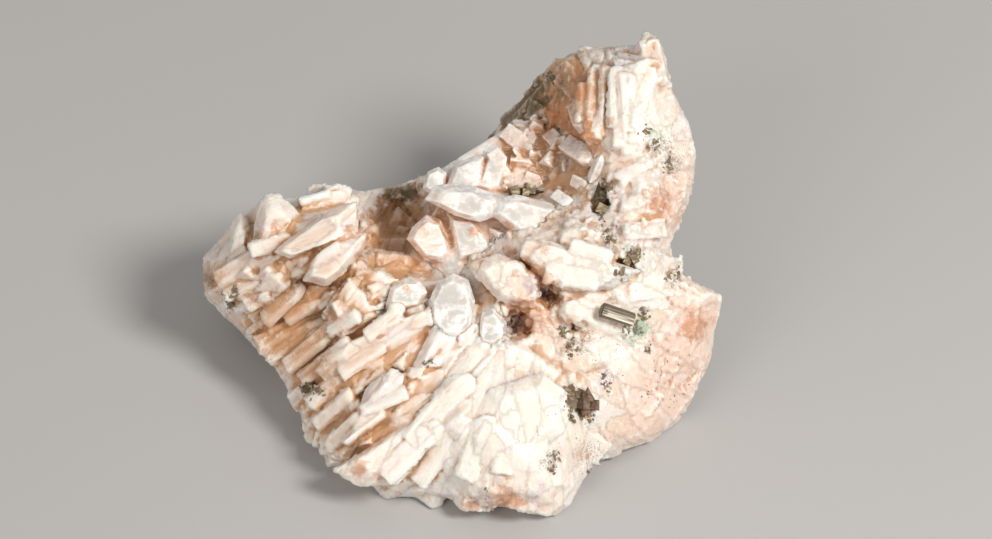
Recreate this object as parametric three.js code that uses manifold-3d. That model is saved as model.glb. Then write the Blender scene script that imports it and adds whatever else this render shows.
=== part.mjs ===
// A zeolite hand specimen. Pale blades have grown together into one broken mass round an open hollow.
// Clear crystals line the hollow as one crust, and small crystals of pyrite sit in sockets in the mass.
//
// The specimen is shaped lying on its back. A place on its crystal face is [right, up, out] in millimetres,
// where out is the way the face looks. Then it is leaned back to stand on a worn flat of its underside.
import * as THREE from "three";
import { ConvexGeometry } from "three/addons/geometries/ConvexGeometry.js";
import { ImprovedNoise } from "three/addons/math/ImprovedNoise.js";
import { mergeVertices } from "three/addons/utils/BufferGeometryUtils.js";
import Module from "manifold-3d";

const wasm = await Module();
wasm.setup();
const { Manifold, Mesh } = wasm;

// Driving dimensions in millimetres, and angles in degrees
const FACE_LEAN = 46; // from level to the crystal face
const SEAT_GAP = 0.3; // between a crystal and its socket
const BODY_DETAIL = 7; // how finely the body is faceted
const FRONT_BULGE = 12; // of the crystal face, over the rim
const BACK_BULGE = 25; // of the broken back, under the rim
const HEART = [1.6, 28.3, -12]; // the middle of the body

// The widest outline, seen square on to the crystal face, clockwise from the left tip
const RIM = [
  [-41.6, 36, -20],
  [-39.6, 41, -19],
  [-35.6, 45, -17],
  [-31, 48, -15],
  [-27.3, 48.6, -17],
  [-23, 50.4, -21],
  [-17, 50, -25],
  [-11.7, 50.2, -29],
  [-6.3, 51.9, -31],
  [-4, 53.2, -30],
  [3.1, 57.7, -29],
  [9.4, 64.2, -27],
  [14.1, 70, -23],
  [17.4, 72.6, -20],
  [22.3, 73, -17],
  [28.6, 74, -11],
  [31.6, 70.5, -9],
  [33.6, 63.9, -10],
  [37, 59.4, -10],
  [36.6, 56, -10],
  [33, 52, -9],
  [38.2, 48.4, -9],
  [37.4, 45.6, -9],
  [33, 42.5, -9],
  [33, 38, -9],
  [37.5, 36.1, -10],
  [40.6, 32.6, -11],
  [39.6, 28, -12],
  [37.2, 23, -13],
  [35, 17.3, -13],
  [32.8, 13.4, -11.5],
  [26.5, 9.5, -8.4],
  [20, 6.4, -5.2],
  [17.2, 2, -0.7],
  [12.5, 0, 1.4],
  [0.8, 0.9, 0.5],
  [-6.3, 2.8, -1.2],
  [-13.3, 4.8, -3.2],
  [-19.5, 6.4, -5.2],
  [-23.4, 11.4, -9.5],
  [-27, 18.1, -12.5],
  [-28.6, 21.6, -14],
  [-33, 26, -16],
  [-37.4, 31, -18],
];

// Swells and hollows of the crystal face: [right, up], how far out or in, and how wide
const RELIEF = [
  { at: [-25, 42], out: 4, wide: 9 }, // left lobe
  { at: [-33, 37], out: 2, wide: 6 },
  { at: [-11, 43], out: -9, wide: 6 }, // gully beside the hollow
  { at: [-9, 49], out: -6, wide: 6 },
  { at: [-22, 33], out: -5, wide: 3.6 }, // gully under the left lobe
  { at: [-27, 28], out: -3, wide: 3.6 },
  { at: [13.5, 56], out: -11, wide: 8 }, // the hollow
  { at: [7, 51], out: -7, wide: 7 },
  { at: [17, 65], out: -5, wide: 5 },
  { at: [26, 63], out: 4, wide: 8 }, // wall of columns
  { at: [29, 46], out: 3, wide: 7 },
  { at: [22, 36], out: 3, wide: 8 },
  { at: [9, 14], out: 5, wide: 12 }, // front swell
  { at: [-8, 16], out: 2, wide: 8 },
  { at: [26, 20], out: 2, wide: 8 },
];

// Small dark pits: [right, up], how deep and how wide
const PITS = [
  { at: [8.8, 29.5], deep: 9, wide: 6.5 },
  { at: [14, 33.8], deep: 7, wide: 5 },
  { at: [17.6, 28.6], deep: 3, wide: 2.4 },
  { at: [-19.4, 20], deep: 3.5, wide: 3.4 },
  { at: [-14.5, 24.4], deep: 3, wide: 3 },
  { at: [-13.5, 33.3], deep: 3.5, wide: 3 },
];

// Flat breaks: a point on each, and the way that it looks
const BREAKS = [
  { at: [36.3, 26, -8], looks: [0.8, -0.25, 0.55] },
  { at: [37, 50, -14], looks: [0.9, 0.2, -0.2] },
  { at: [34.4, 66, -12], looks: [0.85, 0.45, 0.1] },
  { at: [0, 58, -44], looks: [0, 0.62, -0.78] },
  { at: [-22, 45, -38], looks: [-0.4, 0.45, -0.8] },
  { at: [24, 66, -34], looks: [0.3, 0.55, -0.78] },
  { at: [-34, 26, -26], looks: [-0.5, -0.55, -0.67] },
  { at: [40, 26, -28], looks: [0.75, -0.2, -0.63] },
];

// Broad crystals fused to the mass, each drawn as its outline [right, up]. The crown is the outline drawn in
// and moved by shift. It stands proud of the body by rise, and climbs by tilt to the right and up.
const MASS_SLABS = [
  {
    // knob of the left lobe
    outline: [
      [-33, 39], [-31.5, 45], [-31.4, 48.6], [-30.2, 50],
      [-28.2, 49.8], [-25, 46.5], [-27.5, 43], [-31, 39.5],
    ],
    rise: 3.4,
    crown: 0.62,
    shift: [0.6, -0.8],
    tilt: [0.1, -0.1],
  },
  {
    outline: [[-37, 37.5], [-36, 45], [-34.4, 46.8], [-33, 44.5], [-33.4, 40.5], [-35.6, 37.6]],
    rise: 2.2,
    crown: 0.5,
    tilt: [0.5, -0.2],
  },
  {
    // the longest blade of the left lobe, with an upright end
    outline: [
      [-29, 40.5], [-27.5, 42], [-19.5, 47.6], [-16, 48.5],
      [-16, 43.5], [-19, 42.4], [-26.5, 39.5],
    ],
    rise: 4.6,
    crown: 0.7,
    shift: [-0.9, -0.7],
    tilt: [0.12, -0.25],
  },
  {
    outline: [
      [-24.5, 36], [-22.5, 40.5], [-18, 43.5], [-14.4, 43.5],
      [-15, 41], [-18, 37.4], [-20.6, 35.4],
    ],
    rise: 5.6,
    crown: 0.66,
    shift: [-0.6, -0.5],
    tilt: [0.2, -0.2],
  },
  {
    outline: [
      [-24.6, 47], [-24.4, 50.6], [-23, 51.6], [-20.5, 50.6],
      [-18, 50.5], [-15.8, 49], [-16.6, 45.6], [-21, 45],
    ],
    rise: 1.2,
    crown: 0.7,
    tilt: [0, -0.5],
  },
  {
    outline: [
      [-16.4, 46], [-14, 45.8], [-12.8, 44],
      [-13, 41.4], [-15, 40.6], [-16.6, 42.5],
    ],
    rise: 2.4,
    crown: 0.6,
  },
  {
    outline: [
      [-12.6, 45.5], [-10, 48], [-8, 46],
      [-7.8, 42.5], [-11.5, 41],
    ],
    rise: 3,
    crown: 0.6,
    tilt: [0.2, -0.4],
  },
  {
    outline: [
      [-20.6, 30.5], [-17.4, 36.8], [-11.5, 33.5], [-11.8, 31.4],
      [-15, 29], [-18.5, 27], [-20.6, 28.6],
    ],
    rise: 3.4,
    crown: 0.6,
    shift: [0.4, 0.4],
    tilt: [0.1, -0.15],
  },
  { outline: [[-18, 35.6], [-15.6, 38], [-12, 38], [-9.6, 36.2], [-12, 34.6]], rise: 1.8, crown: 0.6 },
  {
    // the long ridge under it
    outline: [
      [-22.6, 22], [-20.6, 25], [-12, 29.2], [-3, 32.6],
      [-1.2, 30.5], [-6.5, 27], [-14, 23.4], [-20.6, 20],
    ],
    rise: 3.2,
    crown: 0.62,
    shift: [0.6, 1],
    tilt: [0.05, 0.1],
  },
  {
    outline: [
      [-18.6, 11], [-14, 19.6], [-10.4, 22.6], [-8.4, 21.4],
      [-9, 17.5], [-12, 14.4], [-17, 10.4],
    ],
    rise: 3.4,
    crown: 0.6,
    tilt: [0.1, 0.05],
  },
  {
    // the largest crystal of the front
    outline: [
      [-19.4, 6.8], [-14, 10.2], [-4.4, 16.6], [-2.4, 14],
      [-5, 9.5], [-9.5, 4.6], [-15.4, 4.2],
    ],
    rise: 3,
    crown: 0.66,
    shift: [0.4, 0.6],
  },
  {
    outline: [
      [1.5, 10.5], [4.5, 19.6], [13, 21.6],
      [18, 18], [16, 12.4], [9.5, 9],
    ],
    rise: 1.6,
    crown: 0.66,
  },
  {
    // the broad white blade right of the hollow
    outline: [
      [9.4, 40], [10.4, 41.6], [12.4, 42.6], [18.5, 40.4],
      [28.2, 37.6], [23.6, 34.8], [18, 34.4], [14, 35.4],
    ],
    rise: 3.6,
    crown: 0.76,
    tilt: [0.05, -0.05],
  },
  {
    // the rusty crystal between the pits
    outline: [
      [1.5, 38.6], [6, 40.4], [9.4, 39], [15.4, 34.6],
      [14.4, 31.6], [11, 33], [6, 33], [3.6, 35.4],
    ],
    rise: 3.6,
    crown: 0.66,
    tilt: [-0.1, 0],
  },
  {
    outline: [
      [14, 24], [17.4, 27.4], [22.4, 27],
      [23.4, 23.6], [19, 21], [15, 21.4],
    ],
    rise: 1.6,
    crown: 0.6,
  },
  {
    outline: [
      [26, 46.4], [27, 52.4], [31, 53.4],
      [32.6, 48], [29.6, 45],
    ],
    rise: 2.2,
    crown: 0.6,
    tilt: [-0.2, 0],
  },
];

// Single blades fused to the mass: foot and tip as [right, up], and how far the tip rises out of the face
const BLADES = [
  { foot: [-5, 38.5], tip: [-14.5, 39], wide: 3.6, thick: 3, rise: 1.5 },
  { foot: [-11.6, 3.6], tip: [-3, 14.4], wide: 6, thick: 4, rise: 2.4 },
  { foot: [-4.6, 2.2], tip: [1, 15.4], wide: 5.4, thick: 4, rise: 2.6 },
  { foot: [2, 1.4], tip: [5, 14.6], wide: 6.6, thick: 4, rise: 2.2 },
  { foot: [9.2, 1.2], tip: [11.4, 13.6], wide: 6.6, thick: 3.6, rise: 2 },
  { foot: [-6, 20.4], tip: [-1.6, 29.2], wide: 5, thick: 3.6, rise: 2.2 },
  { foot: [14.4, 20], tip: [5.4, 25.6], wide: 6, thick: 3.6, rise: 1.6 },
  { foot: [29, 40.4], tip: [15.6, 43.2], wide: 5, thick: 4.4, rise: 3.2 },
  { foot: [26, 28.4], tip: [16, 32], wide: 5, thick: 4.4, rise: 2.8 },
  { foot: [30.6, 66], tip: [28.8, 74.6], wide: 5, thick: 5, rise: 2, point: 1 },
];

// Fans of like blades: feet along one line, tips along another
const FANS = [
  {
    feet: [[-37.6, 33.4], [-31, 28.6]],
    tips: [[-30, 39], [-20.6, 34.4]],
    count: 6,
    wide: 3.4,
    thick: 3,
    rise: 2.4,
  },
  {
    feet: [[-29, 26.6], [-27, 23.4]],
    tips: [[-21.4, 33], [-18.6, 30]],
    count: 3,
    wide: 3,
    thick: 2.6,
    rise: 1,
  },
  {
    feet: [[-26, 19], [-21, 9.6]],
    tips: [[-16.4, 23], [-11, 12.4]],
    count: 5,
    wide: 3.2,
    thick: 3,
    rise: 1.6,
  },
  {
    feet: [[22.6, 70], [29.4, 69.6]],
    tips: [[20.6, 55.6], [27.6, 56]],
    count: 5,
    wide: 3,
    thick: 3.4,
    rise: 2.4,
  },
  {
    feet: [[32, 61], [32, 49]],
    tips: [[25.4, 58], [24, 47]],
    count: 3,
    wide: 4,
    thick: 3,
    rise: 1.4,
  },
  {
    feet: [[31.6, 43], [34, 35]],
    tips: [[24, 44], [24, 34]],
    count: 3,
    wide: 4,
    thick: 3,
    rise: 1.4,
  },
  {
    feet: [[29, 15], [21.6, 9.6]],
    tips: [[20, 24], [14, 16]],
    count: 2,
    wide: 4.6,
    thick: 2.8,
    rise: 1.2,
  },
  {
    feet: [[16, 67.6], [11.4, 62.6]],
    tips: [[20.4, 66], [15, 61]],
    count: 2,
    wide: 3.8,
    thick: 3.4,
    rise: 2,
  },
];

// Stubby crystals of every lie, scattered over rough ground: its middle [right, up] and how far it spreads
const RUBBLE = [
  { at: [-33, 33], over: [4, 4], count: 2, size: 3 },
  { at: [-23.6, 17], over: [2, 4], count: 2, size: 3 },
  { at: [-20, 10], over: [2.6, 3], count: 2, size: 2.8 },
  { at: [4, 3.6], over: [8, 1.6], count: 3, size: 3 },
  { at: [17, 25], over: [4, 4], count: 2, size: 3 },
  { at: [25, 50], over: [4, 4], count: 2, size: 3.4 },
  { at: [29, 57], over: [2.6, 3.4], count: 2, size: 3 },
];

// Clear crystals of the crust, drawn as the broad ones of the mass are, with how far out the crown lies
const CLEAR_SLABS = [
  {
    outline: [
      [-8.4, 42.6], [-7.6, 44.4], [-5.2, 46.4], [-3, 45.6],
      [-1.8, 42.4], [-1.2, 40], [-2.4, 38.8], [-5.6, 39.2],
    ],
    out: -6.6,
    thick: 6,
    tilt: [-0.2, -0.2],
  },
  {
    outline: [[-2.2, 46.8], [1.6, 46.6], [4.8, 42.4], [5.8, 40.4], [3, 39.6], [-0.4, 39], [-1, 41]],
    out: -7,
    thick: 5.4,
    tilt: [0.1, -0.3],
  },
  {
    // long glassy prism that lies across the hollow
    outline: [
      [-5.6, 48.8], [-4, 51], [-1.6, 51.3], [2.4, 50.8],
      [6.4, 49.2], [6, 46.2], [3, 45.2], [-0.9, 46.2],
    ],
    out: -5.6,
    thick: 5.6,
    crown: 0.6,
    shift: [0, -0.4],
    tilt: [0.05, -0.4],
  },
  {
    outline: [
      [4.4, 46.6], [5.6, 48.8], [8.6, 49.6], [13.2, 48],
      [18.6, 47.2], [15.6, 44.6], [13, 42.8], [9.2, 43],
    ],
    out: -4.4,
    thick: 5.6,
    crown: 0.6,
    shift: [-0.6, 0],
    tilt: [-0.06, -0.3],
  },
  {
    outline: [
      [4.4, 44.4], [9.4, 43.4], [14.2, 42.6],
      [12.6, 40.6], [8.6, 40.2], [5.4, 41],
    ],
    out: -6.8,
    thick: 5,
  },
  {
    // round lens at the edge of the hollow
    outline: [
      [-4.8, 33], [-3.4, 36], [-1, 37.3], [1.4, 36.2], [2.4, 33],
      [1.8, 29], [-0.2, 26.8], [-3, 26.8], [-4.8, 29.6],
    ],
    out: 2.4,
    thick: 5,
    crown: 0.74,
    tilt: [0.05, -0.1],
  },
  {
    outline: [
      [-11.6, 32.2], [-10.8, 35], [-8.6, 36.3], [-6.2, 36],
      [-5, 34.2], [-6.2, 32], [-9.2, 31.3],
    ],
    out: 0.6,
    thick: 4.4,
  },
  {
    outline: [
      [2.8, 28.2], [3.4, 31.3], [5.4, 32], [7.3, 29.6],
      [7.1, 26.4], [4.9, 24.7], [3, 26],
    ],
    out: 2.6,
    thick: 5,
  },
  {
    outline: [
      [4.6, 34.8], [5.6, 38.4], [8.4, 37.8],
      [8, 33.2], [5.8, 32.4],
    ],
    out: -1.4,
    thick: 5,
    tilt: [0.3, 0],
  },
  {
    outline: [
      [-2.4, 50.4], [-1, 54.2], [2.4, 55.8],
      [3.8, 55.6], [3.4, 50.6], [0.4, 49.4],
    ],
    out: -11.6,
    thick: 5,
    tilt: [0, -0.5],
  },
  {
    outline: [
      [2.4, 50.2], [4.2, 55.6], [6.4, 57.2],
      [7.6, 55.4], [6.4, 50.4], [4.2, 49.6],
    ],
    out: -12.4,
    thick: 5,
    tilt: [0, -0.5],
  },
  {
    outline: [
      [-6, 50.6], [-5.2, 53.2], [-3.4, 54],
      [-2.2, 53], [-2.4, 50], [-4.4, 49.4],
    ],
    out: -12,
    thick: 4,
  },
  {
    outline: [
      [7, 57.2], [8.6, 60.2], [11.8, 61],
      [12.9, 58.8], [11.6, 56], [8.6, 55.8],
    ],
    out: -15.4,
    thick: 5,
    tilt: [0.1, -0.4],
  },
  {
    outline: [
      [7.8, 53.6], [8.4, 55.8], [12.2, 56.3],
      [13.3, 54.6], [11.8, 52.6], [8.4, 52.6],
    ],
    out: -14,
    thick: 5,
    tilt: [0, -0.3],
  },
  {
    outline: [
      [13.1, 55.4], [15.1, 55.8],
      [16, 53.9], [14.2, 52.8],
    ],
    out: -12,
    thick: 6,
    crown: 0.85,
    tilt: [-0.3, 0.2],
  },
  {
    outline: [
      [13.6, 56.6], [14.8, 59.1], [17, 59.3],
      [17.6, 56.8], [15.6, 55],
    ],
    out: -13,
    thick: 6,
    tilt: [-0.3, -0.2],
  },
  {
    outline: [
      [16.2, 53.2], [16.8, 56.6], [19.6, 57.8],
      [21.6, 55.6], [20.6, 52.4], [17.8, 51.8],
    ],
    out: -10.8,
    thick: 6,
    tilt: [-0.4, 0],
  },
  {
    outline: [
      [17, 60.8], [17.6, 63.3], [19.6, 63.8],
      [20.5, 62], [19.5, 59.8],
    ],
    out: -13,
    thick: 7,
    tilt: [-0.4, 0],
  },
];

// The bed that joins the clear crystals at their feet, as flat-sided lumps that overlap. Each is drawn tight
// round a few balls: [right, up, out] and radius
const CRUST_BED = [
  [
    { at: [-8, 33, -4.4], radius: 2.6 },
    { at: [-1.4, 31, -4.4], radius: 3.6 },
    { at: [4.4, 28.4, -4], radius: 3.2 },
    { at: [6.4, 35, -7.6], radius: 3.2 },
  ],
  [
    { at: [1.6, 33, -8], radius: 3.6 },
    { at: [-3, 42, -13], radius: 4 },
    { at: [8, 41, -12.6], radius: 4.2 },
    { at: [13.4, 45, -11.6], radius: 3.6 },
    { at: [0, 48, -13.6], radius: 3.4 },
  ],
  [
    { at: [-2, 51, -17], radius: 3.4 },
    { at: [5, 50, -16.4], radius: 4.6 },
    { at: [10, 57.6, -20.4], radius: 4.2 },
    { at: [14.6, 50, -16], radius: 4 },
    { at: [18, 57, -18.6], radius: 4 },
    { at: [18.6, 61, -20], radius: 3 },
  ],
];

// Groups of small pyrite cubes: where, how many, and the size of one
const PYRITE_GROUPS = {
  pyrite_in_hollow: { at: [10.4, 50, -11.4], spread: [3.2, 0.9, 1], count: 4, size: 1.5 },
  pyrite_on_wall: { at: [21.6, 49.2, -2.2], spread: [0.9, 2.6, 1], count: 4, size: 1.4 },
  pyrite_by_notch: { at: [26.2, 39, 2], spread: [1.5, 1.2, 0.8], count: 4, size: 1.4 },
  pyrite_in_front: { at: [19.8, 17.4, 3.6], spread: [1.4, 2.6, 0.8], count: 4, size: 1.5 },
  pyrite_on_left_edge: { at: [-23.2, 19.6, -4.6], spread: [1.6, 0.7, 0.6], count: 3, size: 1.1 },
  pyrite_on_left_tip: { at: [-36.4, 34.4, -10], spread: [1.2, 0.8, 0.8], count: 3, size: 1.1 },
};

// One larger pyrite prism
const PYRITE_BAR = { foot: [26.8, 30, 2.6], tip: [21.8, 31.6, 3.8], wide: 2.4, thick: 2 };

const COLOURS = {
  zeolite: { color: "#efe3d6", roughness: 0.55, metalness: 0 },
  clear: { color: "#e6dfe0", roughness: 0.2, metalness: 0 },
  pyrite: { color: "#8a7548", roughness: 0.35, metalness: 0.9 },
};

// A steady stream of numbers from 0 to 1
function dice(seed) {
  let state = seed >>> 0;
  return () => {
    state = (state + 0x6d2b79f5) >>> 0;
    let t = Math.imul(state ^ (state >>> 15), 1 | state);
    t = (t + Math.imul(t ^ (t >>> 7), 61 | t)) ^ t;
    return ((t ^ (t >>> 14)) >>> 0) / 4294967296;
  };
}

const vector = (list) => new THREE.Vector3(...list);
const blend = (a, b, t) => a.map((value, i) => value + (b[i] - value) * t);
const perlin = new ImprovedNoise();
const noiseAt = (p, size, shift = 0) => perlin.noise(p.x / size + shift, p.y / size + 7, p.z / size + 3);

// The geometry with one vertex at each corner
function welded(geometry) {
  const bare = geometry.clone();
  bare.deleteAttribute("normal");
  bare.deleteAttribute("uv");
  return mergeVertices(bare, 1e-4);
}

// A closed geometry as a solid
function solid(geometry) {
  const merged = welded(geometry);
  const vertProperties = merged.attributes.position.array;
  const triVerts = new Uint32Array(merged.index.array);
  return new Manifold(new Mesh({ numProp: 3, vertProperties, triVerts }));
}

// The rim as a closed curve, looked up by its angle round the heart
const rimCurve = new THREE.CatmullRomCurve3(RIM.map(vector), true, "catmullrom", 0.3);
const rimSamples = rimCurve
  .getPoints(720)
  .slice(0, -1)
  .map((p) => ({ p, angle: Math.atan2(p.y - HEART[1], p.x - HEART[0]) }))
  .sort((a, b) => a.angle - b.angle);

function rimAt(angle) {
  let low = 0;
  let high = rimSamples.length;
  while (low < high) {
    const middle = (low + high) >> 1;
    if (rimSamples[middle].angle < angle) low = middle + 1;
    else high = middle;
  }
  return rimSamples[low % rimSamples.length].p;
}

function reliefAt(x, y) {
  return RELIEF.reduce((sum, { at, out, wide }) => {
    const away = ((x - at[0]) ** 2 + (y - at[1]) ** 2) / wide ** 2;
    return sum + out * Math.exp(-away);
  }, 0);
}

// How far out the front of the body lies at [right, up]
function frontAt(x, y) {
  const dx = x - HEART[0];
  const dy = y - HEART[1];
  const rim = rimAt(Math.atan2(dy, dx));
  const share = Math.min(1, Math.hypot(dx, dy) / Math.hypot(rim.x - HEART[0], rim.y - HEART[1]));
  const height = Math.sqrt(1 - share * share);
  const swell = FRONT_BULGE * height + reliefAt(x, y) * Math.min(1, 2 * height);
  return HEART[2] + (rim.z - HEART[2]) * share + swell;
}

// The body: a ball drawn out to the rim, swollen in front and behind, and roughened
function body() {
  const geometry = welded(new THREE.IcosahedronGeometry(1, BODY_DETAIL));
  const position = geometry.attributes.position;
  const p = new THREE.Vector3();
  for (let i = 0; i < position.count; i++) {
    const n = new THREE.Vector3().fromBufferAttribute(position, i).normalize();
    const share = Math.hypot(n.x, n.y);
    const rim = rimAt(Math.atan2(n.y, n.x));
    p.set(HEART[0] + (rim.x - HEART[0]) * share, HEART[1] + (rim.y - HEART[1]) * share, 0);
    const front = FRONT_BULGE * n.z + reliefAt(p.x, p.y) * Math.min(1, 2 * n.z);
    const swell = n.z > 0 ? front : BACK_BULGE * n.z;
    p.z = HEART[2] + (rim.z - HEART[2]) * share + swell;
    const rough = n.z > 0 ? 1 : 1.8;
    const push = rough * (1.5 * noiseAt(p, 9) + 0.9 * noiseAt(p, 4, 20));
    p.addScaledVector(n, push);
    position.setXYZ(i, p.x, p.y, p.z);
  }
  return solid(geometry);
}

// The outlines that a crystal has across its length, for a width and a thickness of 2
const SIX_SIDED = [[1, 0.1], [0.62, 1], [-0.62, 1], [-1, -0.1], [-0.62, -1], [0.62, -1]];
const FIVE_SIDED = [[1, 0.1], [0.6, 1], [-0.6, 1], [-1, -0.1], [0, -1]];
const FOUR_SIDED = [[1, 0.7], [-0.8, 1], [-1, -0.7], [0.8, -1]];

// One crystal: a flattened prism with a chisel end. grow makes it larger all round, as its socket is.
function crystal({ foot, tip, wide, thick, roll = 0, point = 0.6, skew = 0, corners }, grow = 0) {
  const from = vector(foot);
  const to = vector(tip);
  const along = to.clone().sub(from).normalize();
  const side = along.clone().cross(new THREE.Vector3(0, 0, 1)).normalize().applyAxisAngle(along, roll);
  const up = side.clone().cross(along);
  const length = from.distanceTo(to);
  const halfWide = wide / 2 + grow;
  const halfThick = thick / 2 + grow;
  const root = { at: -grow, scale: 0.94, shift: 0 };
  const shoulder = { at: Math.max(0.3 * length, length - point * wide * 0.6), scale: 1, shift: 0 };
  const end = { at: length + grow, scale: Math.max(0.12, 0.75 - point * 0.5), shift: skew * halfWide };
  const rings = point > 0 ? [root, shoulder, end] : [root, end];
  const points = rings.flatMap(({ at, scale, shift }) =>
    corners.map(([a, b]) =>
      from
        .clone()
        .addScaledVector(along, at)
        .addScaledVector(side, a * halfWide * scale + shift)
        .addScaledVector(up, b * halfThick * Math.min(1, scale * 1.15)),
    ),
  );
  return solid(new ConvexGeometry(points));
}

const sumOf = (values) => values.reduce((sum, value) => sum + value, 0);
const middleOf = (outline) => [0, 1].map((axis) => sumOf(outline.map((p) => p[axis])) / outline.length);

// A slab-like crystal with a flat crown, drawn round its outline on the face
function slab({ outline, out, thick, crown = 0.7, shift = [0, 0], tilt = [0, 0] }, grow = 0) {
  const middle = middleOf(outline);
  const points = outline.flatMap((corner) => {
    const away = corner.map((v, axis) => v - middle[axis]);
    const wider = 1 + grow / Math.hypot(...away);
    const ring = (scale, moved, sunk) => {
      const [x, y] = away.map((v, axis) => v * scale * wider + moved[axis]);
      return new THREE.Vector3(middle[0] + x, middle[1] + y, out - sunk + x * tilt[0] + y * tilt[1]);
    };
    return [ring(crown, shift, -grow), ring(1, [0, 0], 0.35 * thick), ring(0.85, [0, 0], thick + grow)];
  });
  return solid(new ConvexGeometry(points));
}

function fusedSlab({ rise, ...shape }) {
  return slab({ thick: rise + 3, ...shape, out: frontAt(...middleOf(shape.outline)) + rise });
}

// A blade whose foot is sunk in the face and whose tip rises out of it
function fusedBlade(blade, random) {
  const [footX, footY] = blade.foot;
  const [tipX, tipY] = blade.tip;
  return crystal({
    corners: FIVE_SIDED,
    ...blade,
    foot: [footX, footY, frontAt(footX, footY) - blade.thick * 0.35],
    tip: [tipX, tipY, frontAt(tipX, tipY) + blade.rise - blade.thick * 0.5],
    roll: (random() - 0.5) * 0.9,
    skew: (random() - 0.5) * 0.7,
  });
}

function fan({ feet, tips, count, wide, thick, rise }, random) {
  const stray = () => (random() - 0.5) * wide * 0.7;
  return Array.from({ length: count }, (_, i) => {
    const share = count > 1 ? i / (count - 1) : 0.5;
    const size = 0.8 + 0.5 * random();
    const foot = blend(feet[0], feet[1], share).map((v) => v + stray());
    const full = blend(tips[0], tips[1], share).map((v) => v + stray());
    const tip = blend(foot, full, 0.75 + 0.35 * random());
    const spread = { wide: wide * size, thick: thick * size, rise: rise * (0.6 + 0.8 * random()) };
    return fusedBlade({ foot, tip, ...spread, point: 0, corners: FOUR_SIDED }, random);
  });
}

function rubble({ at, over, count, size }, random) {
  return Array.from({ length: count }, () => {
    const x = at[0] + (random() * 2 - 1) * over[0];
    const y = at[1] + (random() * 2 - 1) * over[1];
    const turn = random() * Math.PI * 2;
    const lean = 0.3 + 0.9 * random();
    const big = size * (0.7 + 0.7 * random());
    const base = frontAt(x, y) - big * 0.3;
    const reach = [Math.cos(turn) * Math.sin(lean), Math.sin(turn) * Math.sin(lean), Math.cos(lean)];
    return crystal({
      foot: [x - reach[0] * big * 0.5, y - reach[1] * big * 0.5, base - reach[2] * big * 0.5],
      tip: [x + reach[0] * big * 0.8, y + reach[1] * big * 0.8, base + reach[2] * big * 0.8],
      wide: big,
      thick: big * 0.8,
      roll: random() * Math.PI,
      point: 0,
      corners: FOUR_SIDED,
    });
  });
}

// A lumpy pit that narrows as it goes in
function pit({ at, deep, wide }) {
  const ball = new THREE.IcosahedronGeometry(1.1, 0);
  ball.scale(wide / 2, wide / 2, deep);
  ball.rotateZ(at[0]);
  ball.translate(at[0], at[1], frontAt(...at) + deep * 0.25);
  return solid(ball);
}

// The half of space beyond a flat break is cut off
function breakOff(rock, { at, looks }) {
  const normal = vector(looks).normalize();
  return rock.trimByPlane(normal.clone().negate().toArray(), -normal.dot(vector(at)));
}

const cornersOf = (geometry) => {
  const { array } = geometry.attributes.position;
  return Array.from({ length: array.length / 3 }, (_, i) => new THREE.Vector3().fromArray(array, 3 * i));
};

function crust(grow = 0) {
  const beds = CRUST_BED.map((balls) => {
    const points = balls.flatMap(({ at, radius }) => {
      const ball = new THREE.IcosahedronGeometry(radius + grow, 0);
      ball.rotateX(at[0]);
      ball.scale(1, 1, 0.8);
      return cornersOf(ball.translate(...at));
    });
    return solid(new ConvexGeometry(points));
  });
  return Manifold.union([...beds, ...CLEAR_SLABS.map((one) => slab(one, grow))]);
}

// The parts of a pyrite group: a lump in the middle, and cubes that grow from it every way
function pyriteParts({ at, spread, count, size }, seed, grow) {
  const random = dice(seed);
  const heart = new THREE.OctahedronGeometry(1);
  heart.scale(...spread.map((v) => v * 0.9 + grow));
  heart.translate(...at);
  const cubes = Array.from({ length: count }, () => {
    const edge = size * (0.7 + 0.6 * random()) + 2 * grow;
    const cube = new THREE.BoxGeometry(edge, edge, edge);
    cube.rotateX(random() * Math.PI);
    cube.rotateY(random() * Math.PI);
    const place = spread.map((v, axis) => at[axis] + (random() * 2 - 1) * v * 0.8);
    return cube.translate(...place);
  });
  return [heart, ...cubes];
}

function pyriteGroup(group, seed) {
  return Manifold.union(pyriteParts(group, seed, 0).map(solid));
}

// The socket that a pyrite group sits in: the tightest flat-sided hollow that clears all of it
function pyriteSocket(group, seed) {
  return solid(new ConvexGeometry(pyriteParts(group, seed, SEAT_GAP).flatMap(cornersOf)));
}

function pyriteBar(grow = 0) {
  return crystal({ ...PYRITE_BAR, point: 0.1, corners: SIX_SIDED }, grow);
}

const groupSeed = (name) => 11 + Object.keys(PYRITE_GROUPS).indexOf(name);

// The mass with its fused blades, pits and flat breaks, and a socket for each separate piece
function zeoliteMass() {
  const random = dice(5);
  const grown = [
    ...MASS_SLABS.map(fusedSlab),
    ...BLADES.map((blade) => fusedBlade(blade, random)),
    ...FANS.flatMap((one) => fan(one, random)),
    ...RUBBLE.flatMap((one) => rubble(one, random)),
  ];
  let rock = BREAKS.reduce(breakOff, body());
  rock = Manifold.union([rock, ...grown]);
  rock = rock.subtract(Manifold.union(PITS.map(pit)));
  const sockets = [
    crust(SEAT_GAP),
    pyriteBar(SEAT_GAP),
    ...Object.entries(PYRITE_GROUPS).map(([name, group]) => pyriteSocket(group, groupSeed(name))),
  ];
  rock = rock.subtract(Manifold.union(sockets));
  const lean = THREE.MathUtils.degToRad(FACE_LEAN);
  rock = rock.trimByPlane([0, Math.sin(lean), Math.cos(lean)], 0);
  return largest(rock);
}

const largest = (rock) => rock.decompose().sort((a, b) => b.volume() - a.volume())[0];

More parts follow.
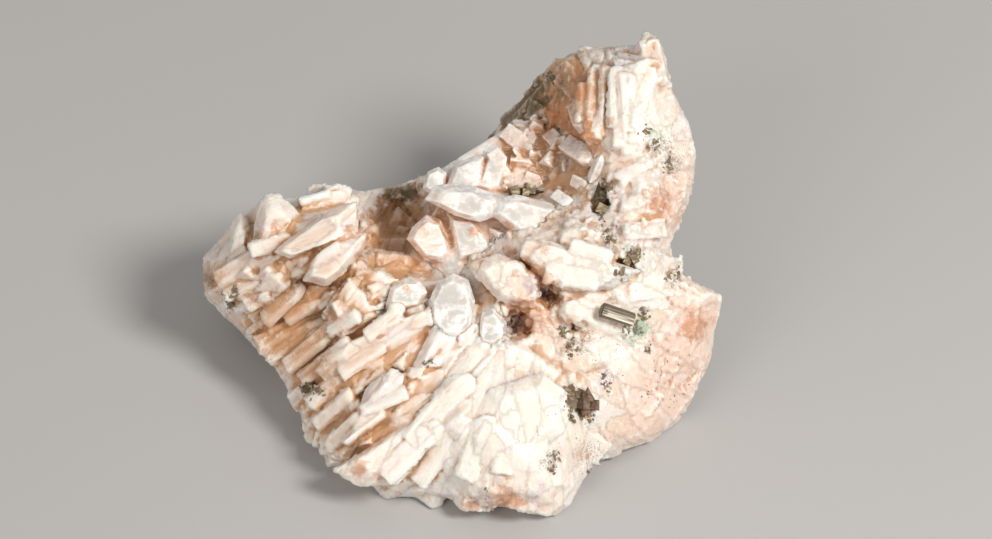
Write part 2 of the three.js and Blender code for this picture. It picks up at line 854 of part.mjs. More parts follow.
function named(name, rock, look) {
  const { vertProperties, triVerts } = rock.getMesh();
  const geometry = new THREE.BufferGeometry();
  geometry.setAttribute("position", new THREE.BufferAttribute(new Float32Array(vertProperties), 3));
  geometry.setIndex(new THREE.BufferAttribute(new Uint32Array(triVerts), 1));
  const flat = geometry.toNonIndexed();
  flat.computeVertexNormals();
  const mesh = new THREE.Mesh(flat, new THREE.MeshStandardMaterial({ ...look, flatShading: true }));
  mesh.name = name;
  return mesh;
}

// Each piece stays clear of its neighbours by the seat gap
const specimen = new THREE.Group();
const mass = zeoliteMass();
specimen.add(named("zeolite_mass", mass, COLOURS.zeolite));
const clearCrust = crust();
specimen.add(named("clear_crystal_crust", clearCrust, COLOURS.clear));
const bar = largest(pyriteBar().subtract(crust(SEAT_GAP)));
specimen.add(named("pyrite_bar", bar, COLOURS.pyrite));
for (const [name, group] of Object.entries(PYRITE_GROUPS)) {
  const cluster = largest(pyriteGroup(group, groupSeed(name)).subtract(crust(SEAT_GAP)));
  specimen.add(named(name, cluster, COLOURS.pyrite));
}
specimen.rotation.x = THREE.MathUtils.degToRad(FACE_LEAN);

// The origin is on the surface that the specimen rests on, under the middle of its box
const whole = new THREE.Group();
whole.add(specimen);
whole.updateMatrixWorld(true);
const middle = new THREE.Box3().setFromObject(whole, true).getCenter(new THREE.Vector3());
specimen.position.set(-middle.x, -middle.y, 0);

export default whole;
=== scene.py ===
# The looks of a zeolite specimen: pale blades round a broken hollow, clear crystals in it, and grains of
# pyrite.
import math
from itertools import product

import bmesh
import bpy
import numpy as np
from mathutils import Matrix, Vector
from mathutils.bvhtree import BVHTree


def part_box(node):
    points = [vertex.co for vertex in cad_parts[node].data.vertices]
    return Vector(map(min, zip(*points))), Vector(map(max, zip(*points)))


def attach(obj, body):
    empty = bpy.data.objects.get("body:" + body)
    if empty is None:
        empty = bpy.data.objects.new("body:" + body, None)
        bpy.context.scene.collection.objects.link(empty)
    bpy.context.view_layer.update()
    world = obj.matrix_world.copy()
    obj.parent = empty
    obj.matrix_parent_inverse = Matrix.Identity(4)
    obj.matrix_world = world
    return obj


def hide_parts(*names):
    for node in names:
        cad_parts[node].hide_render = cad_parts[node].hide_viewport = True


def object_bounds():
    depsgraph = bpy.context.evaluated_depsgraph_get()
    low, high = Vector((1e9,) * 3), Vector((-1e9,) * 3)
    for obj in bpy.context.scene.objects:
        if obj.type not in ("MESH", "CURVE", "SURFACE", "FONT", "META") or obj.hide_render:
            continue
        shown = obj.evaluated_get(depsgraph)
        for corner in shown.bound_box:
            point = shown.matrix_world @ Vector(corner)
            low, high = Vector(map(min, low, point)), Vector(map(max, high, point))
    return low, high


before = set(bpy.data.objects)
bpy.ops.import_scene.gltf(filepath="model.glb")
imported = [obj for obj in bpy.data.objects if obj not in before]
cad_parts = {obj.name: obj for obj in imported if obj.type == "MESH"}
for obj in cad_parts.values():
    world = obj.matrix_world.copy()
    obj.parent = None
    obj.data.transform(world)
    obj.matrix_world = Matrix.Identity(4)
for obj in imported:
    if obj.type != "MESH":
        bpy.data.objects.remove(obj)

CAD_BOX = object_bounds()
MM = 0.001

# The crystal face, from which the specimen was measured: axes right, up and out, leaned back from level
FACE_LEAN = math.radians(46)
FACE_AXES = np.array(
    [
        [1, 0, 0],
        [0, math.cos(FACE_LEAN), math.sin(FACE_LEAN)],
        [0, -math.sin(FACE_LEAN), math.cos(FACE_LEAN)],
    ]
)
# The middle of the pyrite bar on the face, in millimetres, which ties the face to the row's frame
BAR_MIDDLE = np.array([24.3, 30.8, 3.2])

ROCK_VOXEL = 0.26 * MM
ROCK_TRIANGLES = 196_000
CLEAR_VOXEL = 0.16 * MM
CLEAR_TRIANGLES = 150_000

# Lengths from here on are in millimetres, where nothing else is said
# How far the rock rises at most to close the gap under the clear crust, how near the crust has to be, and
# how far the rock would go past the place where they meet
CRUST_GAP = 0.8
CRUST_NEAR = 1.5
CRUST_OVERLAP = 0.3
# How far roughened faces may stand out of the CAD model's box, and how far inside it added crystals stay
BOX_SPARE = 0.8
BOX_INSET = 0.4
# How far out of the face the lines start that look into it
LOOK_FROM = 60
# How far away something still shuts out the sky from the rock and from the clear crystals, and how many
# ways are looked
ROCK_SKY = 9
CLEAR_SKY = 7
SKY_WAYS = 16

# The way the blades grow, as given places on the face and the angle that their tips point to there
GROWTH = [
    ((-36, 35), 30),
    ((-25, 42), 27),
    ((-25, 33), 33),
    ((-19, 25), 30),
    ((-9.5, 17), 36),
    ((-20, 13), 40),
    ((-3, 28), 30),
    ((-9.5, 8), 45),
    ((1.5, 9.6), 62),
    ((9.3, 9.6), 78),
    ((15.6, 12.7), 100),
    ((25, 17), 130),
    ((22, 39), 165),
    ((30, 28), 155),
    ((22, 64), 265),
    ((28, 56), 205),
    ((30, 47), 175),
    ((12, 70), 300),
    ((-2, 49), 100),
]

# Fields of middling and small blades: where on the face, over how much of it, how many, how wide in
# millimetres, how long for their width, and how far they lift off the face in degrees
BLADE_FIELDS = [
    {"at": (-31, 37), "over": (7, 6), "count": 10, "wide": (2.0, 3.4), "long": (2.2, 3.4), "lift": (0, 6)},
    {"at": (-22, 30), "over": (5, 4), "count": 8, "wide": (1.6, 3.0), "long": (2.2, 3.4), "lift": (0, 6)},
    {"at": (-17, 17), "over": (6, 5), "count": 10, "wide": (1.6, 3.0), "long": (2.2, 3.2), "lift": (0, 6)},
]

# The blades that cover the face: (right, up), radius, how wide and long they are, and how far they step
# up and down, in millimetres
BLADE_PLACES = [
    ((-31, 36), 13, 2.6, 13.0, 0.34),
    ((-20, 24), 12, 2.3, 12.0, 0.42),
    ((-20, 12), 9, 2.0, 8.0, 0.46),
    ((-6, 10), 14, 3.4, 18.0, 0.44),
    ((-4, 24), 10, 3.2, 12.0, 0.50),
    ((10, 14), 12, 3.5, 22.0, 0.17),
    ((24, 30), 14, 3.0, 12.0, 0.12),
    ((32, 20), 10, 3.0, 12.0, 0.06),
    ((27, 60), 12, 2.2, 9.0, 0.26),
    ((-8, 42), 10, 3.0, 7.0, 0.50),
]

# Fields of stubby grains, as the blades are given
GRAIN_FIELDS = [
    {"at": (33, 48), "over": (5, 10), "count": 60, "wide": (0.7, 1.5), "long": (1.0, 1.6), "lift": (10, 60)},
    {"at": (26, 40), "over": (7, 5), "count": 50, "wide": (0.7, 1.6), "long": (1.0, 1.6), "lift": (10, 60)},
    {"at": (10, 31), "over": (6, 6), "count": 30, "wide": (0.5, 1.2), "long": (1.0, 1.6), "lift": (10, 80)},
    {"at": (15, 50), "over": (6, 5), "count": 30, "wide": (0.6, 1.4), "long": (1.0, 1.8), "lift": (4, 50)},
    {"at": (12, 68), "over": (6, 5), "count": 40, "wide": (0.7, 1.6), "long": (1.0, 1.6), "lift": (10, 60)},
]

# Single blades: foot and tip as (right, up) on the face, how wide and how thick in millimetres, and how far
# they lean to a side, in degrees
SINGLE_BLADES = [
    ((20.2, 59.4), (21.2, 69.8), 2.6, 1.5, -14),
    ((22.2, 58.4), (22.9, 69.4), 2.4, 1.5, -20),
    ((24.0, 59.8), (24.4, 70.0), 2.6, 1.4, -12),
    ((18.8, 60.6), (19.3, 67.0), 2.0, 1.3, -18),
    ((26.2, 59.0), (25.8, 68.6), 3.0, 1.4, -8),
    ((-38.2, 36.2), (-28.8, 41.2), 3.8, 1.7, 18),
    ((-36.8, 33.8), (-27.0, 38.8), 3.2, 1.6, 24),
    ((-33.6, 32.2), (-25.4, 37.4), 3.6, 1.7, 20),
    ((-30.6, 30.0), (-24.6, 35.6), 3.8, 1.8, 26),
    ((-27.4, 30.0), (-20.8, 34.2), 3.0, 1.5, 16),
    ((-31.8, 26.0), (-20.4, 32.0), 4.2, 1.9, 22),
    ((-30.2, 23.6), (-22.6, 28.4), 3.2, 1.6, 14),
    ((-27.2, 22.6), (-18.6, 29.6), 3.6, 1.7, 24),
    ((-24.6, 20.6), (-17.0, 26.6), 3.0, 1.6, 18),
    ((-23.4, 16.8), (-18.0, 22.0), 3.2, 1.5, 22),
    ((-22.6, 13.6), (-16.6, 18.4), 3.0, 1.5, 14),
    ((-20.4, 10.4), (-15.2, 15.0), 3.0, 1.5, 22),
    ((-11.8, 5.8), (-3.6, 14.2), 4.6, 1.5, 14),
    ((-6.6, 4.8), (-0.6, 13.4), 3.8, 1.2, 8),
    ((0.6, 5.6), (4.4, 15.6), 4.2, 1.1, 6),
    ((6.4, 6.4), (8.0, 16.6), 4.0, 1.0, 4),
    ((-7.6, 11.0), (1.8, 21.6), 4.4, 1.3, 12),
    ((-14.6, 27.4), (-9.0, 31.2), 3.0, 1.4, 16),
    ((-18.6, 21.6), (-11.4, 26.6), 3.2, 1.5, 20),
    ((-19.6, 31.4), (-11.6, 35.0), 3.4, 1.6, 18),
    ((-25.4, 47.8), (-17.6, 50.0), 3.2, 1.8, -10),
    ((9.8, 41.2), (16.6, 38.8), 3.8, 1.8, 10),
    ((13.4, 37.8), (22.0, 36.0), 4.2, 1.6, 6),
    ((17.0, 41.4), (23.6, 39.4), 3.2, 1.6, -8),
]

# Small clear crystals of the hollow, as the blades are given
CLEAR_FIELDS = [
    {"at": (14, 57), "over": (7, 6), "count": 26, "wide": (1.0, 2.2), "long": (1.2, 2.0), "lift": (20, 80)},
    {"at": (4, 53), "over": (6, 4), "count": 16, "wide": (1.0, 2.2), "long": (1.6, 2.6), "lift": (20, 70)},
]

# Single blocks of milky crystal in the hollow, as the single blades are given
SINGLE_BLOCKS = [
    ((14.0, 59.0), (16.8, 55.8), 2.8, 2.6, 15),
    ((13.2, 55.6), (15.4, 53.8), 2.5, 2.4, 30),
    ((7.8, 54.8), (12.0, 54.2), 2.4, 2.2, -20),
    ((7.2, 59.6), (10.2, 57.2), 3.2, 2.6, 10),
    ((18.2, 63.4), (19.3, 60.0), 3.0, 2.4, -12),
    ((16.8, 57.4), (20.6, 54.8), 3.4, 2.6, 20),
    ((14.8, 49.4), (17.2, 47.8), 2.2, 2.0, 25),
    ((20.6, 51.6), (22.4, 55.8), 2.0, 2.2, -20),
    ((11.0, 60.8), (13.4, 59.4), 2.4, 2.2, -15),
    ((10.2, 52.4), (13.2, 51.2), 2.2, 2.0, 10),
    ((17.8, 51.8), (20.2, 50.4), 2.2, 2.0, -10),
    ((5.0, 56.2), (7.0, 53.6), 2.6, 2.2, 20),
    ((-13.3, 30.5), (-12.3, 32.1), 1.4, 1.4, 0),
]

# The filler of the narrow gaps between the blades: how wide a gap it bridges, what share of a gap it takes,
# how deep a gap it leaves, its greatest and least depth, how far it is evened out, how thick it is, how
# steep a step it stops at, and how many places of the grid it stays inside the outline
FILL_REACH = 3.2
FILL_SHARE = 0.86
FILL_LEFT = 0.25
FILL_MOST = 4
FILL_LEAST = 0.1
FILL_EVEN = 0.8
FILL_THICK = 2.0
FILL_STEEP = 2.2
FILL_INSET = 4
# The places where the gaps stay open: (right, up) on the face, radius and how open
OPEN_PLACES = [
    ((-30, 37), 17, 0.35),
    ((-10.7, 43), 7, 1.0),
    ((-33, 44), 3, 1.0),
    ((3, 50), 8, 1.0),
    ((15, 57), 11, 1.0),
    ((9, 30), 5, 1.0),
    ((12.5, 34), 4, 1.0),
    ((1, 32), 7, 0.8),
    ((-22, 29.5), 3, 0.7),
    ((-12, 13), 3, 0.6),
    ((-16.5, 8.5), 2.6, 0.8),
    ((19, 28.6), 2.6, 0.8),
    ((22.8, 33.4), 2, 0.8),
    ((22.6, 50), 3, 0.8),
]

# Narrow pits that are filled nearly to the top, as the open places are given
SHUT_PLACES = [
    ((-13.6, 33.6), 2.0, 1.0),
    ((-14.0, 24.2), 2.0, 1.0),
]

# Facets of broken rock, of the back and of ragged hollows: how high, how wide, and the salt of their pattern
BROKEN_FACETS = [(0.24, 1.1, 80), (0.22, 3.2, 90)]
BACK_FACETS = [(0.1, 1.2, 80), (0.28, 3.2, 90), (0.9, 7, 95)]
RAGGED_FACETS = [(0.9, 2.2, 97), (0.5, 1.0, 98)]

# Where the face is granular: (right, up), radius and strength
GRANULAR = [
    ((33, 22), 11, 1.0),
    ((35, 34), 7, 1.0),
    ((33, 47), 8, 0.9),
    ((31, 58), 7, 0.8),
    ((26, 42), 6, 0.7),
    ((20, 24), 6, 0.6),
    ((-38, 31), 4, 0.8),
    ((-31, 23), 4, 0.8),
    ((-24, 12), 5, 0.9),
    ((4, 1), 9, 0.9),
    ((-14, 4), 5, 0.7),
    ((11, 67), 7, 0.9),
    ((9, 32), 5, 0.8),
    ((16.5, 37.5), 5, 0.8),
    ((22, 44), 5, 0.6),
    ((24, 37), 6, 0.45),
]

# Hollows with ragged walls: (right, up), radius and strength
RAGGED = [
    ((14, 34.3), 3.4, 1.0),
    ((9.4, 30), 4.0, 1.0),
    ((18, 29), 2.2, 1.0),
    ((13.2, 60.4), 2.6, 0.5),
    ((15.6, 63), 2.6, 0.5),
    ((18.4, 59.7), 2.6, 0.5),
    ((21.0, 57.0), 2.0, 0.5),
    ((22.6, 50), 2.6, 0.8),
    ((11.4, 36.4), 2.2, 0.5),
]

# Stained places and places of painted shade: (right, up) on the face, radius and strength, by stain or shade.
# The list over the left side and the middle is painted shade, the tan list is partly painted shade, and the
# white list whitens the lower front and the right side.
STAINS_AND_SHADE = {
    "rust": [
        ((10.5, 31), 4.5, 1.0),
        ((13.2, 36.4), 2.2, 1.2),
        ((11.6, 37.8), 1.8, 1.2),
        ((10.0, 39.2), 1.5, 1.1),
        ((8, 40.5), 2.0, 0.9),
        ((10.4, 28.6), 2.4, 1.0),
        ((13, 41), 1.6, 0.8),
        ((13.2, 60.4), 2.2, 1.3),
        ((14.3, 62.5), 2.4, 1.1),
        ((15.6, 64), 1.8, 0.9),
        ((16.5, 61.9), 2.4, 1.3),
        ((18.4, 59.7), 2.4, 1.3),
        ((20.3, 57.6), 2.2, 1.2),
        ((21.5, 56.2), 1.6, 1.1),
        ((-8.4, 35), 1.3, 1.0),
        ((6.6, 2), 4, 1.0),
        ((1, 1), 3, 0.8),
        ((-15.6, 7), 2, 1.0),
        ((36.4, 29), 3.4, 0.9),
        ((31, 48), 3.6, 0.9),
        ((34, 46), 2.6, 0.7),
        ((17, 29.5), 1.2, 1.0),
        ((-29.4, 44.4), 2, 0.7),
        ((22, 68.5), 2, 0.6),
        ((19, 68), 2.6, 0.8),
        ((18, 65.6), 2.2, 0.8),
        ((2, 43.6), 1.6, 0.9),
        ((7.4, 44.4), 1.2, 1.0),
        ((24, 39), 1.6, 0.7),
    ],
    "brown": [
        ((-11, 46), 3.0, 0.4),
        ((-32.4, 43.6), 1.8, 1.0),
        ((-13, 47), 2.4, 0.6),
        ((24, 73), 5, 0.7),
        ((-14.6, 34.6), 2.4, 0.7),
        ((-22, 30), 3.4, 0.7),
        ((27, 40), 1.8, 0.9),
        ((19, 29.6), 1.6, 0.9),
        ((23.6, 33), 1.6, 0.8),
        ((12, 66), 3.4, 0.9),
        ((16, 66), 3, 0.8),
        ((18, 18), 2.6, 0.7),
        ((22, 47), 2.2, 0.8),
        ((11.6, 52), 2.6, 0.6),
        ((-40, 36), 2.6, 0.8),
        ((-30, 24), 2.4, 0.6),
    ],
    "green": [
        ((27.6, 28.4), 3.0, 1.0),
        ((30.6, 58.6), 1.6, 1.0),
        ((-5, 23.4), 0.9, 1.0),
    ],
    "olive": [
        ((-9, 50.4), 3.4, 0.9),
        ((-12, 51), 3, 0.8),
        ((9, 63), 5, 1.3),
        ((12.6, 66.6), 2.0, 0.9),
        ((5, 58.6), 3, 0.8),
        ((-5, 23.4), 0.8, 0.8),
    ],
    "grey": [
        ((31.4, 57), 4.4, 0.8),
        ((33.6, 54.4), 2.6, 0.9),
        ((17.6, 27), 4, 0.9),
        ((27.6, 28.4), 3.4, 0.9),
        ((26, 40.6), 3.4, 0.8),
        ((22.6, 21), 3.4, 0.6),
        ((18.4, 17.6), 3, 0.8),
        ((13.8, 8.6), 2.6, 0.9),
        ((20, 9), 4.4, 0.7),
        ((33.6, 36.4), 2, 0.9),
        ((34.4, 34), 1.6, 0.7),
        ((23.4, 43), 2.6, 0.8),
        ((22.4, 50), 2.4, 0.8),
        ((13.4, 69), 3, 0.8),
        ((-36, 34), 2, 0.8),
        ((-23, 19.6), 1.8, 0.8),
        ((24, 56), 3, 0.5),
    ],
    # Painted shade over the left side and the middle, which deepens the painted recess shade there
    "painted_shade_patches": [
        ((-24, 30), 20, 1.0),
        ((-18, 14), 12, 1.0),
        ((-12, 12), 10, 0.8),
        ((0, 34), 10, 0.6),
    ],
    # Tan: partly a tan stain of the rock, partly painted shade in the hollows and the valley
    "tan": [
        ((12, 57), 9, 1.5),
        ((17, 53), 6, 1.2),
        ((4, 56), 5, 0.5),
        ((-3, 47), 3, 0.8),
        ((-9, 43), 8, 1.5),
        ((14, 66), 8, 1.6),
        ((2, 39.6), 4, 0.6),
        ((-3, 36.6), 3, 0.6),
        ((13, 46.6), 5, 0.6),
        # Painted shade on the shaded left edge
        ((-27, 29), 7, 1.1),
        ((-23.6, 23), 5, 1.0),
        ((-39, 37), 4, 0.8),
        ((-31, 43), 3, 0.5),
    ],
    "lilac": [
        ((8, 29.6), 3.4, 0.9),
        ((11.6, 35.6), 2.8, 1.3),
        ((22.6, 21), 4, 0.7),
        ((11.6, 3.6), 2.6, 0.8),
        ((25.6, 68), 3, 0.7),
        ((-20, 45), 5, 0.5),
        ((-19, 40), 4, 0.4),
        ((-26, 33), 5, 0.4),
        ((-2, 8), 2, 0.6),
        ((-20, 22), 3, 0.4),
    ],
    "pink": [
        ((34, 21), 9, 1.0),
        ((30, 14), 6, 0.8),
        ((33, 47), 6, 0.9),
        ((37, 30), 6, 0.8),
    ],
    "white": [
        ((-2, 9), 13, 1.0),
        ((10, 14), 12, 1.0),
        ((22, 35), 9, 1.0),
        ((27, 62), 9, 1.0),
        ((28, 40), 8, 0.9),
        ((4, 22), 9, 0.8),
        ((24, 26), 8, 0.8),
        ((16.5, 38), 5, 1.3),
        ((29, 50), 7, 0.7),
        ((27, 34), 6, 0.8),
    ],
}

# Patches of dark metallic grains: (right, up) on the face, radius, how many, and their largest size
SPECKS = [
    ((27.6, 28.4), 2.0, 120, 0.4),
    ((17.6, 27.4), 2.6, 90, 0.36),
    ((26.6, 40.4), 1.2, 60, 0.45),
    ((25, 38.2), 0.9, 30, 0.45),
    ((23.4, 43.2), 1.2, 36, 0.4),
    ((22.6, 51), 1.0, 44, 0.5),
    ((22, 47.4), 1.0, 44, 0.5),
    ((30.6, 58.4), 1.6, 50, 0.36),
    ((33, 54.6), 1.6, 40, 0.36),
    ((18.2, 17.6), 2.4, 110, 0.55),
    ((18.2, 17.4), 1.8, 32, 1.0),
    ((22.8, 21.2), 2.2, 40, 0.3),
    ((13.6, 8.6), 1.8, 50, 0.36),
    ((20, 9), 3.0, 50, 0.3),
    ((33.6, 36.4), 0.9, 44, 0.4),
    ((-36.3, 34), 1.2, 50, 0.45),
    ((-23, 19.6), 1.2, 50, 0.45),
    ((-5, 23.3), 0.4, 14, 0.4),
    ((9, 50.6), 2.0, 50, 0.5),
    ((14, 68), 1.6, 30, 0.5),
    ((5, 1.4), 4, 30, 0.26),
]
# Fine dark grains scattered singly, as the patches are given
DUST = [
    ((33, 19), 5, 60, 0.2),
    ((22, 26), 4, 24, 0.18),
    ((31, 57), 3, 20, 0.18),
    ((16, 12), 5, 24, 0.18),
]


def to_row(points):
    """Points on the face, in millimetres, in the row's frame, in metres."""
    return FACE_ORIGIN + np.asarray(points, float) @ FACE_AXES * MM


def to_face(points):
    return (np.asarray(points, float) - FACE_ORIGIN) @ FACE_AXES.T / MM


bar_low, bar_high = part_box("pyrite_bar")
FACE_ORIGIN = (np.array(bar_low) + np.array(bar_high)) / 2 - BAR_MIDDLE @ FACE_AXES * MM


# Noise in numpy, on points in millimetres. Each pattern has a salt, a number of its own.
PLACE_PRIMES = (73856093, 19349663, 83492791)
SALT_PRIME = 2654435761
MIXING_PRIME = 1274126177
HASH_STEPS = 0x100000
# What brings the noise to about -1 to 1, and how far apart the patterns of two salts lie
NOISE_GAIN = 1.7
SALT_SHIFT = 3.17
# How steep facets are, and how far they step up and down, where they are 1 wide
FACET_TILT = 1.8
FACET_STEP = 0.5
# How near a picked place has to be to set the way that blades grow
GROWTH_NEAR = 3
# Where a patch ends, in its own radii. It is whole as far as 1 less.
PATCH_END = 1.25


def scatter_hash(cells, salt):
    """A number from 0 to 1 for each lattice cell."""
    x, y, z = (cells[:, k].astype(np.int64) * PLACE_PRIMES[k] for k in range(3))
    mixed = x ^ y ^ z ^ (salt * SALT_PRIME)
    mixed = (mixed ^ (mixed >> 13)) * MIXING_PRIME
    mixed = mixed ^ (mixed >> 16)
    return (mixed & (HASH_STEPS - 1)) / float(HASH_STEPS)


def gradient_noise(points, size, salt):
    """Smooth noise of about -1 to 1."""
    scaled = points / size + salt * SALT_SHIFT
    cell = np.floor(scaled)
    part = scaled - cell
    fade = part**3 * (part * (part * 6 - 15) + 10)  # from 0 to 1, level at both ends
    total = np.zeros(len(points))
    for corner in product((0, 1), repeat=3):
        corner = np.array(corner)
        at = cell + corner
        turn = 2 * math.pi * scatter_hash(at, salt + 1)
        lift = 2 * scatter_hash(at, salt + 2) - 1
        flat = np.sqrt(1 - lift**2)
        away = part - corner
        slope = away[:, 0] * flat * np.cos(turn) + away[:, 1] * flat * np.sin(turn) + away[:, 2] * lift
        total += np.prod(np.where(corner, fade, 1 - fade), axis=1) * slope
    return total * NOISE_GAIN


def facets(points, salt):
    """Flat facets, one to a lattice cell, each tilted its own way: their height."""
    cell = np.floor(points)
    best = np.full(len(points), 1e9)
    height = np.zeros(len(points))
    for step in product((-1, 0, 1), repeat=3):
        at = cell + np.array(step)
        seed = at + np.stack([scatter_hash(at, salt + k) for k in (3, 4, 5)], axis=1)
        away = points - seed
        near = (away**2).sum(axis=1)
        tilt = np.stack([scatter_hash(at, salt + k) - 0.5 for k in (6, 7, 8)], axis=1) * FACET_TILT
        level = scatter_hash(at, salt + 9) - 0.5
        closer = near < best
        best = np.where(closer, near, best)
        height = np.where(closer, (away * tilt).sum(axis=1) + FACET_STEP * level, height)
    return height


def facet_layers(face, layers):
    """Facets of several sizes laid over each other: their height."""
    return sum(high * facets(face / wide, salt) for high, wide, salt in layers)


def growth_angle(x, y):
    """The angle that blades point to at a place on the face."""
    east = np.zeros(len(x))
    north = np.zeros(len(x))
    for (cx, cy), degrees in GROWTH:
        weight = 1 / ((x - cx) ** 2 + (y - cy) ** 2 + GROWTH_NEAR**2) ** 1.5
        east += weight * math.cos(math.radians(degrees))
        north += weight * math.sin(math.radians(degrees))
    return np.arctan2(north, east)


def blade_size(face):
    """How wide and how long blades are at each point, and how far they step."""
    core = 0.05
    total = np.zeros(len(face))
    sums = np.zeros((3, len(face)))
    for (x, y), radius, *size in BLADE_PLACES:
        weight = 1 / (((face[:, 0] - x) ** 2 + (face[:, 1] - y) ** 2) / radius**2 + core) ** 2
        total += weight
        sums += weight * np.array(size)[:, None]
    return sums / total


# Blades on the face: how far they bend to a side, over what length, the least and the span of the place of
# their middles in their cells, their tilts along and across, how wide a joint is in cells, and how high a
# blade and how deep a joint is for a step of 1
BLADE_BEND = 0.5
BLADE_BEND_OVER = 6
BLADE_MIDDLE = (0.15, 0.7)
BLADE_RISE = 0.5
BLADE_TILT = 1.2
JOINT_WIDE = 0.16
BLADE_HIGH = 1.5
JOINT_DEEP = 0.5


def blades_on(face, ways):
    """Blades laid side by side on the face: how high each point of them is, and how near it is to a joint."""
    wide, long, step_up = blade_size(face)
    side = np.stack([-ways[:, 1], ways[:, 0]], axis=1)
    bent = face[:, :2] + BLADE_BEND * gradient_noise(face, BLADE_BEND_OVER, 24)[:, None]
    at = np.stack([(bent * ways[:, :2]).sum(axis=1), (bent * side).sum(axis=1)], axis=1)
    at /= np.stack([np.rint(long), np.rint(wide * 2) / 2], axis=1)
    cell = np.floor(at)
    best = np.full(len(face), 1e9)
    second = np.full(len(face), 1e9)
    height = np.zeros(len(face))
    best_at = np.zeros((len(face), 2))
    second_at = np.zeros((len(face), 2))
    for step in product((-1, 0, 1), repeat=2):
        lattice = np.column_stack([cell + step, np.zeros(len(face))])
        hashes = [scatter_hash(lattice, 26 + k) for k in range(5)]
        seed = lattice[:, :2] + BLADE_MIDDLE[0] + BLADE_MIDDLE[1] * np.stack(hashes[:2], axis=1)
        away = at - seed
        near = (away**2).sum(axis=1)
        level = hashes[2] - 0.5 + (hashes[3] - 0.5) * BLADE_TILT * away[:, 1]
        level = level + (0.2 + hashes[4]) * BLADE_RISE * away[:, 0]
        closer = near < best
        nearly = ~closer & (near < second)
        second_at = np.where(closer[:, None], best_at, np.where(nearly[:, None], seed, second_at))
        best_at = np.where(closer[:, None], seed, best_at)
        second = np.where(closer, best, np.minimum(second, near))
        height = np.where(closer, level, height)
        best = np.where(closer, near, best)
    apart = np.abs(second_at - best_at)
    beside = apart[:, 1] / np.maximum(apart.sum(axis=1), 1e-6)
    joint = (1 - smooth(np.sqrt(second) - np.sqrt(best), 0.0, JOINT_WIDE)) * smooth(beside, 0.1, 0.6)
    return step_up * (BLADE_HIGH * height - JOINT_DEEP * joint), joint


def bundle_of(face):
    """The way and the shade of the bundle of blades that each point belongs to."""
    long = 13.0
    wide = 5.5
    fan = 0.5
    slope = growth_angle(face[:, 0], face[:, 1])
    ahead = np.stack([np.cos(slope), np.sin(slope)], axis=1)
    cell = np.floor(face[:, :2] / wide)
    best = np.full(len(face), 1e9)
    middle = np.zeros((len(face), 2))
    shade = np.zeros(len(face))
    for step in product((-1, 0, 1), repeat=2):
        at = np.column_stack([cell + step, np.zeros(len(face))])
        seed = (at[:, :2] + np.stack([scatter_hash(at, 21), scatter_hash(at, 22)], axis=1)) * wide
        away = face[:, :2] - seed
        along = (away * ahead).sum(axis=1)
        near = (away**2).sum(axis=1) - along**2 * (1 - (wide / long) ** 2)
        closer = near < best
        best = np.where(closer, near, best)
        middle = np.where(closer[:, None], seed, middle)
        shade = np.where(closer, scatter_hash(at, 23), shade)
    angle = growth_angle(middle[:, 0], middle[:, 1]) + (shade - 0.5) * fan
    return np.stack([np.cos(angle), np.sin(angle), 0 * angle], axis=1), shade


def patches(places, face, ragged):
    """How strongly a list of round places covers each point of the face."""
    total = np.zeros(len(face))
    for (x, y), radius, strength in places:
        away = np.hypot(face[:, 0] - x, face[:, 1] - y) / radius * ragged
        total = np.maximum(total, strength * np.clip(PATCH_END - away, 0, 1))
    return total


def smooth(value, low, high):
    """0 at low and 1 at high, with a smooth rise between them."""
    part = np.clip((value - low) / (high - low), 0, 1)
    return part * part * (3 - 2 * part)


# Meshes
def points_of(mesh):
    flat = np.empty(len(mesh.vertices) * 3, np.float32)
    mesh.vertices.foreach_get("co", flat)
    return flat.reshape(-1, 3).astype(float)


def normals_of(mesh):
    flat = np.empty(len(mesh.vertices) * 3, np.float32)
    mesh.vertices.foreach_get("normal", flat)
    return flat.reshape(-1, 3).astype(float)


def edges_of(mesh):
    flat = np.empty(len(mesh.edges) * 2, np.int32)
    mesh.edges.foreach_get("vertices", flat)
    return flat.reshape(-1, 2)


def move_points(mesh, points):
    mesh.vertices.foreach_set("co", points.astype(np.float32).ravel())
    mesh.update()


def relaxed(values, edges, rounds):
    """Values on vertices, each drawn towards its neighbours' mean, over and over."""
    kept = 0.4
    drawn = 0.6
    count = len(values)
    degree = np.maximum(np.bincount(edges.ravel(), minlength=count), 1)
    columns = values.reshape(count, -1).copy()
    for _ in range(rounds):
        for k in range(columns.shape[1]):
            column = columns[:, k]
            total = np.bincount(edges[:, 0], column[edges[:, 1]], count)
            total += np.bincount(edges[:, 1], column[edges[:, 0]], count)
            columns[:, k] = kept * column + drawn * total / degree
    return columns.reshape(values.shape)


def add_piece(name, data):
    piece = bpy.data.objects.new(name, data)
    bpy.context.scene.collection.objects.link(piece)
    return piece


def mesh_piece(name, vertices, faces):
    mesh = bpy.data.meshes.new(name)
    mesh.from_pydata([tuple(v) for v in vertices], [], faces)
    return add_piece(name, mesh)


def applied(piece):
    """The piece with its modifiers worked into its mesh."""
    bpy.context.view_layer.update()
    graph = bpy.context.evaluated_depsgraph_get()
    mesh = bpy.data.meshes.new_from_object(piece.evaluated_get(graph))
    old = piece.data
    piece.modifiers.clear()
    piece.data = mesh
    bpy.data.meshes.remove(old)
    return piece


def remeshed(piece, voxel):
    modifier = piece.modifiers.new("one skin", "REMESH")
    modifier.mode = "VOXEL"
    modifier.voxel_size = voxel
    return applied(piece)


def thinned(piece, triangles):
    now = sum(len(face.vertices) - 2 for face in piece.data.polygons)
    modifier = piece.modifiers.new("fewer", "DECIMATE")
    modifier.ratio = min(1.0, triangles / now)
    modifier.use_collapse_triangulate = True
    return applied(piece)


def shade_smoothly(mesh):
    mesh.polygons.foreach_set("use_smooth", [True] * len(mesh.polygons))
    mesh.update()


def store(mesh, name, values):
    attribute = mesh.attributes.new(name, "FLOAT", "POINT")
    attribute.data.foreach_set("value", values.astype(np.float32))


